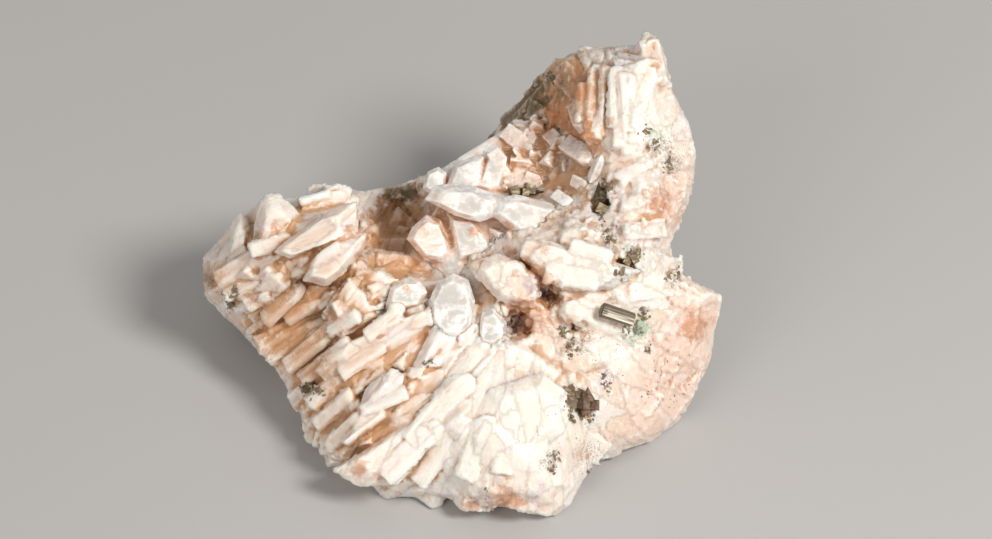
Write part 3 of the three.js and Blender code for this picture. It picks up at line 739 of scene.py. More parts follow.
def store_vectors(mesh, name, values):
    attribute = mesh.attributes.new(name, "FLOAT_VECTOR", "POINT")
    attribute.data.foreach_set("vector", values.astype(np.float32).ravel())


def vectors_of(mesh, name):
    flat = np.empty(len(mesh.vertices) * 3, np.float32)
    mesh.attributes[name].data.foreach_get("vector", flat)
    return flat.reshape(-1, 3).astype(float)


def plain_copy(node):
    """The vertices and faces of a CAD node, with the corners that its facets share merged."""
    gathered = bmesh.new()
    gathered.from_mesh(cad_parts[node].data)
    bmesh.ops.remove_doubles(gathered, verts=gathered.verts, dist=1e-6)
    vertices = np.array([tuple(v.co) for v in gathered.verts])
    faces = [tuple(v.index for v in face.verts) for face in gathered.faces]
    gathered.free()
    return vertices, faces


def joined(bodies):
    """The vertices and faces of several bodies as one."""
    vertices = np.zeros((0, 3))
    faces = []
    for more_vertices, more_faces in bodies:
        faces += [tuple(len(vertices) + k for k in face) for face in more_faces]
        vertices = np.vstack([vertices, more_vertices])
    return vertices, faces


def tree_of_faces(vertices, faces):
    return BVHTree.FromPolygons([tuple(v) for v in vertices], faces)


def tree_of(meshes):
    gathered = bmesh.new()
    for mesh in meshes:
        gathered.from_mesh(mesh)
    tree = BVHTree.FromBMesh(gathered)
    gathered.free()
    return tree


def openness(tree, points, normals, reach):
    """The share of the sky that each point sees. What is nearer shuts out more."""
    clear_of_skin = 0.06
    turn = math.pi * (3 - math.sqrt(5)) * np.arange(SKY_WAYS)
    level = 1 - 2 * (np.arange(SKY_WAYS) + 0.5) / SKY_WAYS
    flat = np.sqrt(1 - level**2)
    spiral = np.stack([flat * np.cos(turn), flat * np.sin(turn), level], axis=1)
    starts = [Vector(p) for p in points + normals * clear_of_skin * MM]
    seen = np.zeros(len(points))
    total = np.zeros(len(points))
    for ray in spiral:
        facing = normals @ ray
        ways = np.sign(facing)[:, None] * ray
        share = np.abs(facing) + 0.15
        shut = np.zeros(len(points))
        for k, (start, way) in enumerate(zip(starts, ways)):
            distance = tree.ray_cast(start, way, reach)[3]
            if distance is not None:
                shut[k] = 1 - distance / reach
        seen += share * (1 - shut)
        total += share
    return seen / total


# Crystals, as the corners of their section in half widths
SIX_SIDED = [(1, 0.1), (0.62, 1), (-0.62, 1), (-1, -0.1), (-0.62, -1), (0.62, -1)]
FOUR_SIDED = [(1, 0.7), (-0.8, 1), (-1, -0.7), (0.8, -1)]


class CrystalHeap:
    """Crystals gathered into one mesh. Places are on the face, in millimetres."""

    def __init__(self):
        self.points = []
        self.faces = []
        self.ways = []
        self.shades = []

    def add(self, foot, tip, wide, thick, roll, point, skew, corners, shade=0.5):
        """Adds a crystal from foot to tip, which narrows to its tip by point and leans there by skew."""
        foot = np.asarray(foot, float)
        along = np.asarray(tip, float) - foot
        length = np.linalg.norm(along)
        along /= length
        side = np.cross(along, (0, 0, 1))
        side /= max(np.linalg.norm(side), 1e-6)
        up = np.cross(side, along)
        side, up = side * math.cos(roll) + up * math.sin(roll), up * math.cos(roll) - side * math.sin(roll)
        # The foot, the shoulder and the tip: how far along, how wide, and how far to a side
        rings = [
            (0.0, 0.9, 0.0),
            (max(0.3 * length, length - point * wide * 0.6), 1.0, 0.0),
            (length, max(0.12, 0.75 - point * 0.5), skew * wide / 2),
        ]
        start = len(self.points)
        count = len(corners)
        for at, scale, shift in rings:
            for a, b in corners:
                across = a * wide / 2 * scale + shift
                high = b * thick / 2 * min(1, scale * 1.15)
                self.points.append(foot + along * at + side * across + up * high)
        made = [tuple(start + k for k in reversed(range(count)))]
        for ring in range(len(rings) - 1):
            low = start + ring * count
            for k in range(count):
                after = (k + 1) % count
                made.append((low + k, low + after, low + count + after, low + count + k))
        top = start + (len(rings) - 1) * count
        made.append(tuple(top + k for k in range(count)))
        self.faces += made
        self.ways += [along] * len(made)
        self.shades += [shade] * len(made)

    def body(self):
        """The vertices in the row's frame, held inside the box, and the faces."""
        return within_box(to_row(np.array(self.points)), -BOX_INSET * MM), self.faces


def face_hit(tree, x, y):
    """Where a line looking into the face at (right, up) meets the surface, and its normal, on the face."""
    hit, normal, _, _ = tree.ray_cast(Vector(to_row([x, y, LOOK_FROM])), Vector(-FACE_AXES[2]))
    if hit is None:
        return None, None
    return to_face(np.array(hit)), FACE_AXES @ np.array(normal)


class Relief:
    """How high a surface lies over the face, on a grid."""

    # The grid's step, its lowest corner and its size, and over how wide a square its level is averaged
    STEP = 0.4
    LOW = np.array([-46.0, -6.0])
    COUNTS = (np.array([92, 88]) / STEP).astype(int)
    LEVEL_OVER = 3.0

    def __init__(self, tree):
        self.height = np.full(self.COUNTS, -np.inf)
        for i, j in product(range(self.COUNTS[0]), range(self.COUNTS[1])):
            start = Vector(to_row([*(self.LOW + self.STEP * np.array([i, j])), LOOK_FROM]))
            distance = tree.ray_cast(start, Vector(-FACE_AXES[2]))[3]
            if distance is not None:
                self.height[i, j] = LOOK_FROM - distance / MM
        self.there = np.isfinite(self.height)
        self.level = self.averaged(self.height, self.LEVEL_OVER)

    def averaged(self, values, radius):
        """The mean of the grid over a square round each place."""
        reach = round(radius / self.STEP)
        sums = [self._sum(np.where(self.there, grid, 0.0), reach) for grid in (values, 1.0 * self.there)]
        return sums[0] / np.maximum(sums[1], 1)

    @staticmethod
    def _sum(values, reach):
        for axis in (0, 1):
            padded = np.pad(values, [(reach + 1, reach) if k == axis else (0, 0) for k in (0, 1)])
            running = np.cumsum(padded, axis=axis)
            size = values.shape[axis]
            values = running.take(range(2 * reach + 1, 2 * reach + 1 + size), axis=axis)
            values = values - running.take(range(size), axis=axis)
        return values

    def places(self):
        across, up = np.meshgrid(*(np.arange(count) for count in self.COUNTS), indexing="ij")
        return np.stack([across, up], axis=-1) * self.STEP + self.LOW

    def gaps(self, reach):
        """How deep each place lies under a skin stretched over the surface."""
        rounds = round(reach / self.STEP)
        skin = -highest(-highest(self.height, rounds), rounds)
        return np.where(self.there, skin - np.where(self.there, self.height, 0.0), 0.0)

    def level_at(self, face):
        i, j = np.clip(((face[:, :2] - self.LOW) / self.STEP).astype(int), 0, self.COUNTS - 1).T
        return self.level[i, j]


BESIDE = [(1, 0), (-1, 0), (0, 1), (0, -1)]
ACROSS_CORNERS = [(1, 1), (-1, -1), (1, -1), (-1, 1)]


def highest(values, rounds):
    """The highest value within some rounds of neighbours, every second round across the corners too."""
    for k in range(rounds):
        best = values
        for step in BESIDE + ACROSS_CORNERS * (k % 2):
            best = np.maximum(best, np.roll(values, step, axis=(0, 1)))
        values = best
    return values


def filling(relief):
    """A body in the row's frame that fills the narrow gaps of the relief, where they aren't left open."""
    places = relief.places()
    flat = np.column_stack([places.reshape(-1, 2), np.zeros(places.size // 2)])
    ragged = 1 + 0.3 * gradient_noise(flat, 4, 20)
    share = FILL_SHARE * (1 - patches(OPEN_PLACES, flat, ragged)).reshape(relief.COUNTS)
    gaps = relief.gaps(FILL_REACH)
    depth = relief.averaged(share * np.clip(gaps - FILL_LEFT, 0, FILL_MOST), FILL_EVEN)
    shut = (2 * patches(SHUT_PLACES, flat, 1.0)).clip(0, 1).reshape(relief.COUNTS) * (gaps - FILL_LEFT)
    depth = np.where(relief.there, np.minimum(np.maximum(depth, shut), gaps), 0)
    inside = -highest(-1.0 * relief.there, FILL_INSET) > 0.5
    top = np.where(relief.there, relief.height, 0) + depth
    there = inside & (highest(depth, 2) > FILL_LEAST)
    columns, rows = relief.COUNTS
    shifts = [(slice(i, columns - 1 + i), slice(j, rows - 1 + j)) for i, j in product((0, 1), repeat=2)]
    steep = np.ptp(np.array([top[shift] for shift in shifts]), axis=0) > FILL_STEEP
    cells = np.all(np.array([there[shift] for shift in shifts]), axis=0) & ~steep
    cells = np.pad(cells, 1)
    count = columns * rows
    upper = np.column_stack([flat[:, :2], top.ravel()])
    points = np.vstack([upper, upper - (0, 0, FILL_THICK)])
    faces = []
    for i, j in zip(*np.nonzero(cells)):
        ring = [(i - 1) * rows + j - 1, i * rows + j - 1, i * rows + j, (i - 1) * rows + j]
        faces.append(tuple(ring))
        faces.append(tuple(count + k for k in reversed(ring)))
        for side, (di, dj) in enumerate([(0, -1), (1, 0), (0, 1), (-1, 0)]):
            if not cells[i + di, j + dj]:
                a, b = ring[side], ring[(side + 1) % 4]
                faces.append((b, a, count + a, count + b))
    used = np.unique([k for face in faces for k in face])
    renamed = np.zeros(2 * count, int)
    renamed[used] = np.arange(len(used))
    return to_row(points[used]), [tuple(renamed[k] for k in face) for face in faces]


def grow_field(heap, field, seen_by, random, proud=9.0, corners=SIX_SIDED, stray=0.2):
    """Sets a field of crystals in the surface that seen_by finds, where it stands no prouder than allowed."""
    sunk = 0.3
    past_tip = 0.4
    least_facing = 0.1
    for _ in range(field["count"]):
        x, y = np.array(field["at"]) + random.uniform(-1, 1, 2) * field["over"]
        wide = random.uniform(*field["wide"])
        length = wide * random.uniform(*field["long"])
        lift = math.radians(random.uniform(*field["lift"]))
        angle = growth_angle(np.array([x]), np.array([y]))[0] + random.normal() * stray
        details = {
            "roll": random.normal() * 0.45,
            "point": random.uniform(0.1, 1.0),
            "skew": random.uniform(-0.6, 0.6),
            "shade": random.random(),
        }
        thick = wide * random.uniform(0.3, 0.5)
        hit, normal = seen_by(x, y)
        if hit is None or normal[2] < least_facing or hit[2] - ground.level_at(hit[None])[0] > proud:
            continue
        ahead = np.array([math.cos(angle), math.sin(angle), 0])
        level = ahead - normal * (ahead @ normal)
        level /= np.linalg.norm(level)
        along = level * math.cos(lift) + normal * math.sin(lift)
        middle = hit - normal * thick * sunk
        foot = middle - along * length * 0.5
        tip = middle + along * length * 0.5
        if face_hit(mass_tree, *(tip + past_tip * wide * along)[:2])[0] is not None:
            heap.add(foot, tip, wide, thick, corners=corners, **details)


def lay_blade(heap, tree, foot, tip, wide, thick, lean, corners=SIX_SIDED):
    """Lays one crystal along the face, over the highest ground beneath it that the tree finds."""
    sunk = 0.35
    to_side = 0.4
    inset = 0.15
    foot = np.array(foot)
    tip = np.array(tip)
    side = np.array([foot[1] - tip[1], tip[0] - foot[0]]) / np.linalg.norm(tip - foot) * wide * to_side
    heights = []
    for end in (foot * (1 - inset) + tip * inset, foot * inset + tip * (1 - inset)):
        hits = [face_hit(tree, *(end + side * k))[0] for k in (-1, 0, 1)]
        heights.append(max([hit[2] for hit in hits if hit is not None], default=0) - sunk * thick)
    # A shade of its own for each place
    shade = (7.3 * foot[0] + 3.1 * foot[1]) % 1
    roll = math.radians(lean)
    ends = [(*foot, heights[0]), (*tip, heights[1])]
    heap.add(*ends, wide, thick, roll, 0.3 + 0.6 * shade, shade - 0.5, corners, shade)


def within_box(points, spare):
    """Points held to the CAD model's box, let out by spare, and above the floor."""
    low, high = (np.array(corner) for corner in CAD_BOX)
    low = low - spare
    low[2] = max(low[2], 0)
    return np.clip(points, low, high + spare)


# Shader nodes
class Value:
    """A number in a shader. Arithmetic on it adds Math nodes."""

    def __init__(self, finish, socket):
        self.finish = finish
        self.socket = socket

    def _math(self, operation, first, second=0.0):
        return self.finish.node("ShaderNodeMath", {"operation": operation}, {0: first, 1: second})[0]

    def __add__(self, other):
        return self._math("ADD", self, other)

    __radd__ = __add__

    def __sub__(self, other):
        return self._math("SUBTRACT", self, other)

    def __rsub__(self, other):
        return self._math("SUBTRACT", other, self)

    def __mul__(self, other):
        return self._math("MULTIPLY", self, other)

    __rmul__ = __mul__

    def clamped(self):
        return self._math("MINIMUM", self._math("MAXIMUM", self, 0.0), 1.0)

    def lines(self, width):
        """1 on the lines where the value crosses a half, and 0 away from them."""
        return 1 - self._math("ABSOLUTE", self - 0.5).step(0.0, width)

    def step(self, low, high):
        """0 below low and 1 above high, with a smooth rise between them."""
        settings = {"interpolation_type": "SMOOTHSTEP"}
        values = {0: self, 1: low, 2: high, 3: 0.0, 4: 1.0}
        return self.finish.node("ShaderNodeMapRange", settings, values)[0]


class Outputs:
    """The output sockets of a node, by number or name."""

    def __init__(self, finish, node):
        self.finish = finish
        self.node = node

    def __getitem__(self, key):
        return Value(self.finish, self.node.outputs[key])


class Finish:
    """A material made of nodes."""

    def __init__(self, name):
        self.material = bpy.data.materials.new(name)
        self.material.use_nodes = True
        self.tree = self.material.node_tree
        self.tree.nodes.clear()

    def node(self, kind, settings=None, values=None):
        made = self.tree.nodes.new(kind)
        for name, setting in (settings or {}).items():
            setattr(made, name, setting)
        for key, value in (values or {}).items():
            target = made.inputs[key]
            if isinstance(value, Value):
                self.tree.links.new(value.socket, target)
            elif target.type == "RGBA" and len(value) == 3:
                target.default_value = (*value, 1)
            else:
                target.default_value = value
        return Outputs(self, made)

    def attribute(self, name, output="Fac"):
        return self.node("ShaderNodeAttribute", {"attribute_name": name})[output]

    def place(self):
        """The point's place, in millimetres."""
        values = {0: self.node("ShaderNodeTexCoord")["Object"], "Scale": 1 / MM}
        return self.node("ShaderNodeVectorMath", {"operation": "SCALE"}, values)["Vector"]

    def stretched(self, vector, scale):
        return self.node("ShaderNodeVectorMath", {"operation": "MULTIPLY"}, {0: vector, 1: scale})["Vector"]

    def noise(self, vector, scale, detail=3.0, roughness=0.55, distortion=0.0):
        values = {"Vector": vector, "Scale": scale, "Detail": detail}
        values |= {"Roughness": roughness, "Distortion": distortion}
        return self.node("ShaderNodeTexNoise", None, values)["Fac"]

    def cells(self, vector, scale, output="Distance"):
        return self.node("ShaderNodeTexVoronoi", None, {"Vector": vector, "Scale": scale})[output]

    def mix(self, factor, first, second):
        return self.node("ShaderNodeMix", {"data_type": "RGBA"}, {0: factor, 6: first, 7: second})[2]

    def bump(self, height, distance, strength, normal=None):
        values = {"Height": height, "Distance": distance, "Strength": strength}
        if normal is not None:
            values["Normal"] = normal
        return self.node("ShaderNodeBump", None, values)["Normal"]

    def surface(self, values):
        return self.node("ShaderNodeBsdfPrincipled", {"subsurface_method": "RANDOM_WALK"}, values)["BSDF"]

    def finish(self, shader):
        self.node("ShaderNodeOutputMaterial", None, {"Surface": shader})
        return self.material


def zeolite_finish():
    """Cream and faintly lilac blades; edges whitened as painted highlight, partly frost; recesses painted
    brown as shade, partly iron stain; stained in places.
    """
    f = Finish("zeolite_rock")
    where = f.place()
    grain = f.stretched(f.attribute("grain", "Vector"), (0.16, 1.0, 1.0))
    broad = f.noise(where, 0.12, 3)
    middle = f.noise(where, 0.6, 4)
    fine = f.noise(where, 2.8, 4)
    fibres = f.noise(grain, 2.6, 4, 0.6)
    speckle = f.cells(where, 3.2)
    shade = f.attribute("shade")
    edge = f.attribute("edge")
    closed = 1 - f.attribute("open")
    ragged = (middle - 0.5) * 0.9 + (fine - 0.5) * 0.7

    tone = (broad * 0.5 + middle * 0.4 + fibres * 0.3 + shade * 0.4).step(0.45, 1.15)
    colour = f.mix(tone, (0.80, 0.62, 0.50), (0.92, 0.83, 0.76))
    glassy = (shade + (fibres - 0.5) * 0.7).step(0.62, 0.95)
    colour = f.mix(glassy * 0.5, colour, (0.80, 0.74, 0.75))
    white = (f.attribute("white") + (middle - 0.5) * 0.6).step(0.1, 0.9)
    colour = f.mix(white * 0.75, colour, (0.95, 0.91, 0.85))
    pink = (f.attribute("pink") + (fine - 0.5) * 0.6 + (middle - 0.5) * 0.5).step(0.15, 0.8)
    colour = f.mix(pink * 0.75, colour, (0.84, 0.62, 0.52))
    # Painted shade: the painted shade patches deepen the recess shade on the left side and in the middle
    closed = closed + f.attribute("painted_shade_patches") * 0.13
    # Painted shade: warm brown where the surface is closed to the sky, and dark brown in the deepest
    # recesses, partly the iron stain of the hollows
    warm_recess_shade = (closed + ragged * 0.25).step(0.18, 0.46)
    colour = f.mix(warm_recess_shade * 0.8, colour, (0.72, 0.44, 0.25))
    deep_recess_shade = (closed + ragged * 0.3).step(0.36, 0.72)
    colour = f.mix(deep_recess_shade * 0.9, colour, (0.38, 0.18, 0.07))
    joint = (f.attribute("joint") * 0.8 + (fine - 0.5) * 0.5 + (middle - 0.5) * 1.6).step(0.35, 1.1)
    plain = 1 - white * 0.8
    seamed = joint * f.attribute("joint") * plain * (1 - f.attribute("pink")).clamped()
    colour = f.mix(seamed * 0.55, colour, (0.66, 0.38, 0.20))
    # Painted shade: brown in concave creases and where the surface is closed to the sky
    crease_shade = (f.attribute("crease_shade") + (middle - 0.5) * 0.8 + closed * 0.6).step(0.45, 1.1)
    colour = f.mix(crease_shade * plain * 0.75, colour, (0.62, 0.34, 0.17))
    # Stains, in the order they lie over each other: what breaks up their edges, where they begin and are
    # whole, how strong they are, and their colour
    flecked = ((fine - 0.5) * 1.7, (speckle - 0.4) * -0.9)
    stains = {}
    for name, breaks, low, high, share, stain in (
        # Tan is partly painted shade in the hollows and on the left edge
        ("tan", [ragged * 1.2], 0.2, 0.9, 0.9, (0.60, 0.32, 0.15)),
        ("lilac", [ragged], 0.35, 0.9, 0.7, (0.60, 0.51, 0.55)),
        ("rust", [ragged * 1.1], 0.4, 0.9, 0.75, (0.62, 0.28, 0.13)),
        ("brown", [ragged], 0.4, 1.0, 0.8, (0.34, 0.20, 0.10)),
        ("grey", flecked, 0.5, 0.9, 0.65, (0.34, 0.30, 0.26)),
        ("olive", [ragged], 0.3, 0.8, 0.85, (0.15, 0.11, 0.045)),
        ("green", [ragged], 0.45, 0.85, 0.75, (0.40, 0.56, 0.42)),
    ):
        stains[name] = sum(breaks, f.attribute(name)).step(low, high)
        colour = f.mix(stains[name] * share, colour, stain)
    behind = f.attribute("back")
    matrix = (broad * 0.7 + middle * 0.6 + fine * 0.2).step(0.6, 0.9)
    earth = f.mix(matrix, (0.62, 0.50, 0.37), (0.30, 0.23, 0.16))
    earth = f.mix((fine + middle * 0.6).step(0.85, 1.0) * 0.7, earth, (0.80, 0.72, 0.60))
    back = (behind + (broad - 0.5) * 1.2 + (middle - 0.5) * 0.8).step(0.3, 0.8)
    colour = f.mix(back * behind.step(0.02, 0.3) * 0.75, colour, earth)
    # Painted highlight: convex edges whitened, partly the frost of the blades' edges
    edge_highlight = edge * (0.6 - stains["tan"] * 0.3 - stains["rust"] * 0.3).clamped()
    colour = f.mix(edge_highlight, colour, (0.97, 0.93, 0.87))

    sparkle = f.cells(where, 5.0, "Color")
    rough = 0.40 - fibres * 0.22 - edge * 0.05 + closed * 0.3 + f.attribute("broken") * 0.2
    grit = f.bump(fine * 0.6 + f.noise(where, 8.0, 3) * 0.4, 0.14 * MM, 0.6)
    grit = f.bump(sparkle, 0.10 * MM, 0.4, grit)
    normal = f.bump(fibres, 0.24 * MM, 0.8, grit)
    shader = f.surface(
        {
            "Base Color": colour,
            "Roughness": rough.clamped(),
            "IOR": 1.5,
            "Subsurface Weight": 0.66,
            "Subsurface Radius": (1.0, 0.62, 0.42),
            "Subsurface Scale": 2.0 * MM,
            "Coat Weight": (0.35 - closed * 0.5 - f.attribute("broken") * 0.25).clamped(),
            "Coat Roughness": 0.16,
            "Normal": normal,
        }
    )
    return f.finish(shader)


def clear_finish():
    """Clear to milky, faintly lilac, with edges whitened as painted highlight, partly frost, painted shade in
    seams and recesses, veils inside and growth lines on the faces.
    """
    f = Finish("clear_crystal")
    where = f.place()
    fine = f.noise(where, 2.2, 4)
    veils = f.noise(where, 0.4, 4, 0.6, 0.6)
    growth = f.noise(f.stretched(where, (0.3, 1.0, 1.0)), 1.8, 3)
    edge = f.attribute("edge")
    seam_shade = f.attribute("seam_shade")
    closed = 1 - f.attribute("open")
    normal = f.bump(growth * 0.7 + fine * 0.3, 0.08 * MM, 0.6)
    clear = f.surface(
        {
            "Base Color": (1.0, 0.92, 0.87),
            "Roughness": 0.12,
            "IOR": 1.5,
            "Transmission Weight": 1.0,
            "Normal": normal,
        }
    )
    colour = f.mix(veils.step(0.35, 0.7), (0.97, 0.87, 0.83), (1.0, 0.96, 0.93))
    # Painted shade: the tan deepens in the seams and where the crystal is closed to the sky
    low = seam_shade * 0.7 + closed.step(0.12, 0.42) * 1.1 + 0.35
    tan = (f.attribute("tan") + (veils - 0.5) * 1.4 + (fine - 0.5) * 0.6).step(0.3, 1.1)
    colour = f.mix((tan * low).clamped(), colour, (0.56, 0.30, 0.14))
    # Painted shade: orange brown in the concave seams
    colour = f.mix((seam_shade + (fine - 0.5) * 0.5).step(0.4, 0.9) * 0.8, colour, (0.82, 0.55, 0.36))
    seat = (f.attribute("seat") + (fine - 0.5) * 0.4).step(0.3, 1.0)
    colour = f.mix(seat * 0.6, colour, (0.86, 0.64, 0.47))
    stained = (f.attribute("rust") + f.attribute("brown") + (fine - 0.5) * 0.9).step(0.4, 0.9)
    colour = f.mix(stained * 0.7, colour, (0.70, 0.38, 0.22))
    # Painted shade: brown where the crystal is closed to the sky
    shut = (closed + (fine - 0.5) * 0.3).step(0.3, 0.62)
    colour = f.mix(shut * 0.75, colour, (0.64, 0.40, 0.26))
    cracks = f.noise(f.stretched(where, (0.35, 0.9, 1.3)), 0.8, 3, 0.6, 1.2)
    flaws = cracks.lines(0.035) * veils.step(0.45, 0.6)
    # Painted highlight on the edges, partly frost; the flaws are white cracks inside
    colour = f.mix((edge * 0.5 + flaws * 0.6).clamped(), colour, (1.0, 0.97, 0.94))
    milky = f.surface(
        {
            "Base Color": colour,
            "Roughness": 0.22,
            "IOR": 1.5,
            "Subsurface Weight": 1.0,
            "Subsurface Radius": (1.0, 0.8, 0.7),
            "Subsurface Scale": 1.6 * MM,
            "Normal": normal,
        }
    )
    # How milky it is: more in veils, at edges, in seams and recesses, and where it sits on the rock
    share = veils.step(0.40, 0.62) * 0.25 + edge * 0.3 + seam_shade * 0.4 + closed.step(0.3, 0.6) * 0.4 + 0.66
    share = share + f.attribute("seat") * 0.5 + f.attribute("tan") * 0.15 + flaws * 0.3
    both = f.node("ShaderNodeMixShader", None, {0: share.clamped(), 1: clear, 2: milky})[0]
    return f.finish(both)


def pyrite_finish(name, bright, dark, metal):
    """Metal grains striped along the faces and tarnished brown and black."""
    f = Finish(name)
    where = f.place()
    tarnish = f.noise(f.stretched(where, (0.5, 1.4, 1.4)), 1.3, 4)
    stripes = f.noise(f.stretched(where, (0.6, 1.0, 4.0)), 1.6, 3)
    colour = f.mix(stripes.step(0.35, 0.65), bright, dark)
    colour = f.mix(tarnish.step(0.38, 0.60) * 0.85, colour, (0.09, 0.065, 0.04))
    shader = f.surface(
        {
            "Base Color": colour,
            "Metallic": metal - tarnish.step(0.5, 0.7) * 0.4,
            "Roughness": 0.38 + tarnish * 0.25,
            "Normal": f.bump(stripes, 0.06 * MM, 0.7),
        }
    )
    return f.finish(shader)


def bar_finish(mesh):
    """Bright grey metal with straight stripes along the bar, dull at its left end."""
    f = Finish("pyrite_bar")
    where = f.place()
    points = points_of(mesh) / MM
    middle = points.mean(axis=0)
    along = np.linalg.eigh(np.cov((points - middle).T))[1][:, 2]
    along = along * np.sign(along[0])
    across = np.cross(along, FACE_AXES[2])
    length, side, depth = (
        f.node("ShaderNodeVectorMath", {"operation": "DOT_PRODUCT"}, {0: where, 1: tuple(axis)})["Value"]
        for axis in (along, across, np.cross(along, across))
    )
    lined = f.node("ShaderNodeCombineXYZ", None, {0: length * 0.03, 1: side, 2: depth})[0]
    stripes = f.noise(lined, 3.4, 2, 0.5)
    blotches = f.noise(where, 0.8, 3)
    start = length - float(middle @ along)
    half = float(np.ptp((points - middle) @ along)) / 2
    colour = f.mix(stripes.step(0.40, 0.60), (0.40, 0.37, 0.31), (0.13, 0.11, 0.08))
    dull = (start * (-1 / half) + (blotches - 0.5) * 0.5).step(0.3, 0.6)
    colour = f.mix((dull + blotches.step(0.58, 0.7) * 0.5).clamped() * 0.8, colour, (0.10, 0.08, 0.06))
    shader = f.surface(
        {
            "Base Color": colour,
            "Metallic": 0.9,
            "Roughness": 0.34 + blotches * 0.2,
            "Normal": f.bump(stripes, 0.10 * MM, 0.8),
        }
    )
    return f.finish(shader)


def speck_finish():
    """Dull dark grains, brassy where they are fresh."""
    f = Finish("pyrite_specks")
    where = f.place()
    kind = f.noise(where, 0.9, 2)
    fine = f.noise(where, 6.0, 3)
    colour = f.mix(kind.step(0.42, 0.58), (0.42, 0.33, 0.19), (0.19, 0.12, 0.07))
    colour = f.mix(fine.step(0.45, 0.6) * 0.7, colour, (0.36, 0.32, 0.28))
    shader = f.surface(
        {
            "Base Color": colour,
            "Metallic": 0.75 - kind.step(0.45, 0.6) * 0.5,
            "Roughness": 0.35 + fine * 0.3,
            "Normal": f.bump(fine, 0.05 * MM, 0.6),
        }
    )
    return f.finish(shader)


def floor_finish():
    f = Finish("floor")
    tint = f.mix(f.noise(f.place(), 0.004, 2), (0.43, 0.43, 0.43), (0.47, 0.47, 0.47))
    return f.finish(f.surface({"Base Color": tint, "Roughness": 0.9}))


# The rock
def source_surfaces(bodies, heap):
    """The bodies and the crystals as one, and a lookup from points to their crystals' ways and shades."""
    vertices, faces = joined([*bodies, heap.body()])
    tree = tree_of_faces(vertices, faces)
    plain = len(faces) - len(heap.faces)
    heap_ways = np.array(heap.ways)
    heap_shades = np.array(heap.shades)

    def find(points):
        found = np.array([tree.find_nearest(Vector(p))[2] for p in points]) - plain
        ways, shades = bundle_of(to_face(points))
        own = found >= 0
        ways[own] = heap_ways[found[own]]
        shades[own] = heap_shades[found[own]]
        return ways, shades

    return vertices, faces, find


def grain_of(face, ways, shades):
    """Where each point is along and across its own crystal, in millimetres, apart from the other crystals."""
    apart = 37
    side = np.cross(ways, (0, 0, 1.0))
    side /= np.maximum(np.linalg.norm(side, axis=1), 1e-6)[:, None]
    up = np.cross(side, ways)
    grain = np.stack([(face * axis).sum(axis=1) for axis in (ways, side, up)], axis=1)
    return grain + apart * shades[:, None]


def behind(normals):
    """1 where the surface looks away from the crystal face, and 0 where it looks out of it."""
    return smooth(FACE_AXES[2] @ normals.T, 0.2, -0.4)


def push_out(mesh, points, normals, push):
    """Moves each point along its normal by its push, in millimetres, and holds the mesh to its box."""
    move_points(mesh, within_box(points + normals * (push * MM)[:, None], BOX_SPARE * MM))


def roughen(mesh, find):
    """Striped crystal faces where the blades are whole, and grains where they are broken."""
    most = 1.2
    points = points_of(mesh)
    normals = normals_of(mesh)
    face = to_face(points)
    ways, shades = find(points)
    grain = grain_of(face, ways, shades)
    back = behind(normals)
    store_vectors(mesh, "laid", face)
    broken = np.maximum(patches(GRANULAR, face, 1 + 0.4 * gradient_noise(face, 3, 50)), back)
    whole = 1 - np.clip(broken, 0, 1)
    laid, _ = blades_on(face, ways)
    # The large blades that stand proud have plain faces of their own
    prominent = face[:, 2] - bare.level_at(face)
    covered = 1 - 0.7 * smooth(prominent, 0.4, 1.4)
    covered *= smooth(normals @ FACE_AXES[2], 0.0, 0.5)
    push = whole * (covered * laid + 0.10 * facets(grain / [6, 1.0, 1.0], 60))
    push += broken * facet_layers(face, BROKEN_FACETS)
    push += back * facet_layers(face, BACK_FACETS)
    push += 0.09 * gradient_noise(face, 0.8, 30) * (0.5 + broken)
    push += patches(RAGGED, face, 1.0) * (facet_layers(face, RAGGED_FACETS) + 0.4)
    # The foot stays flat on the ground
    push = np.clip(push, -most, most) * smooth(points[:, 2] / MM, 0.0, 1.2)
    push_out(mesh, points, normals, push)


def meet(mesh, tree):
    """Closes the narrow gap to a body: what faces it is drawn up to it."""
    points = points_of(mesh)
    normals = normals_of(mesh)
    nearest = [tree.find_nearest(Vector(p), CRUST_NEAR * MM)[0] for p in points]
    near = np.array([k for k, place in enumerate(nearest) if place is not None])
    seats = (np.array([nearest[k] for k in near]) - points[near]) / MM
    away = np.linalg.norm(seats, axis=1)
    facing = smooth((seats * normals[near]).sum(axis=1) / np.maximum(away, 1e-6), -0.1, 0.4)
    push = np.zeros(len(points))
    push[near] = np.minimum(away + CRUST_OVERLAP, CRUST_GAP) * facing * (1 - smooth(away, 0.9, CRUST_NEAR))
    push_out(mesh, points, normals, push)


def mark_stains_and_shade(mesh, names):
    face = to_face(points_of(mesh))
    ahead = smooth(FACE_AXES[2] @ normals_of(mesh).T, -0.5, 0.1)
    ragged = 1 + 0.5 * gradient_noise(face, 2.4, 40) + 0.35 * gradient_noise(face, 0.9, 41)
    for name in names:
        store(mesh, name, patches(STAINS_AND_SHADE[name], face, ragged) * ahead)


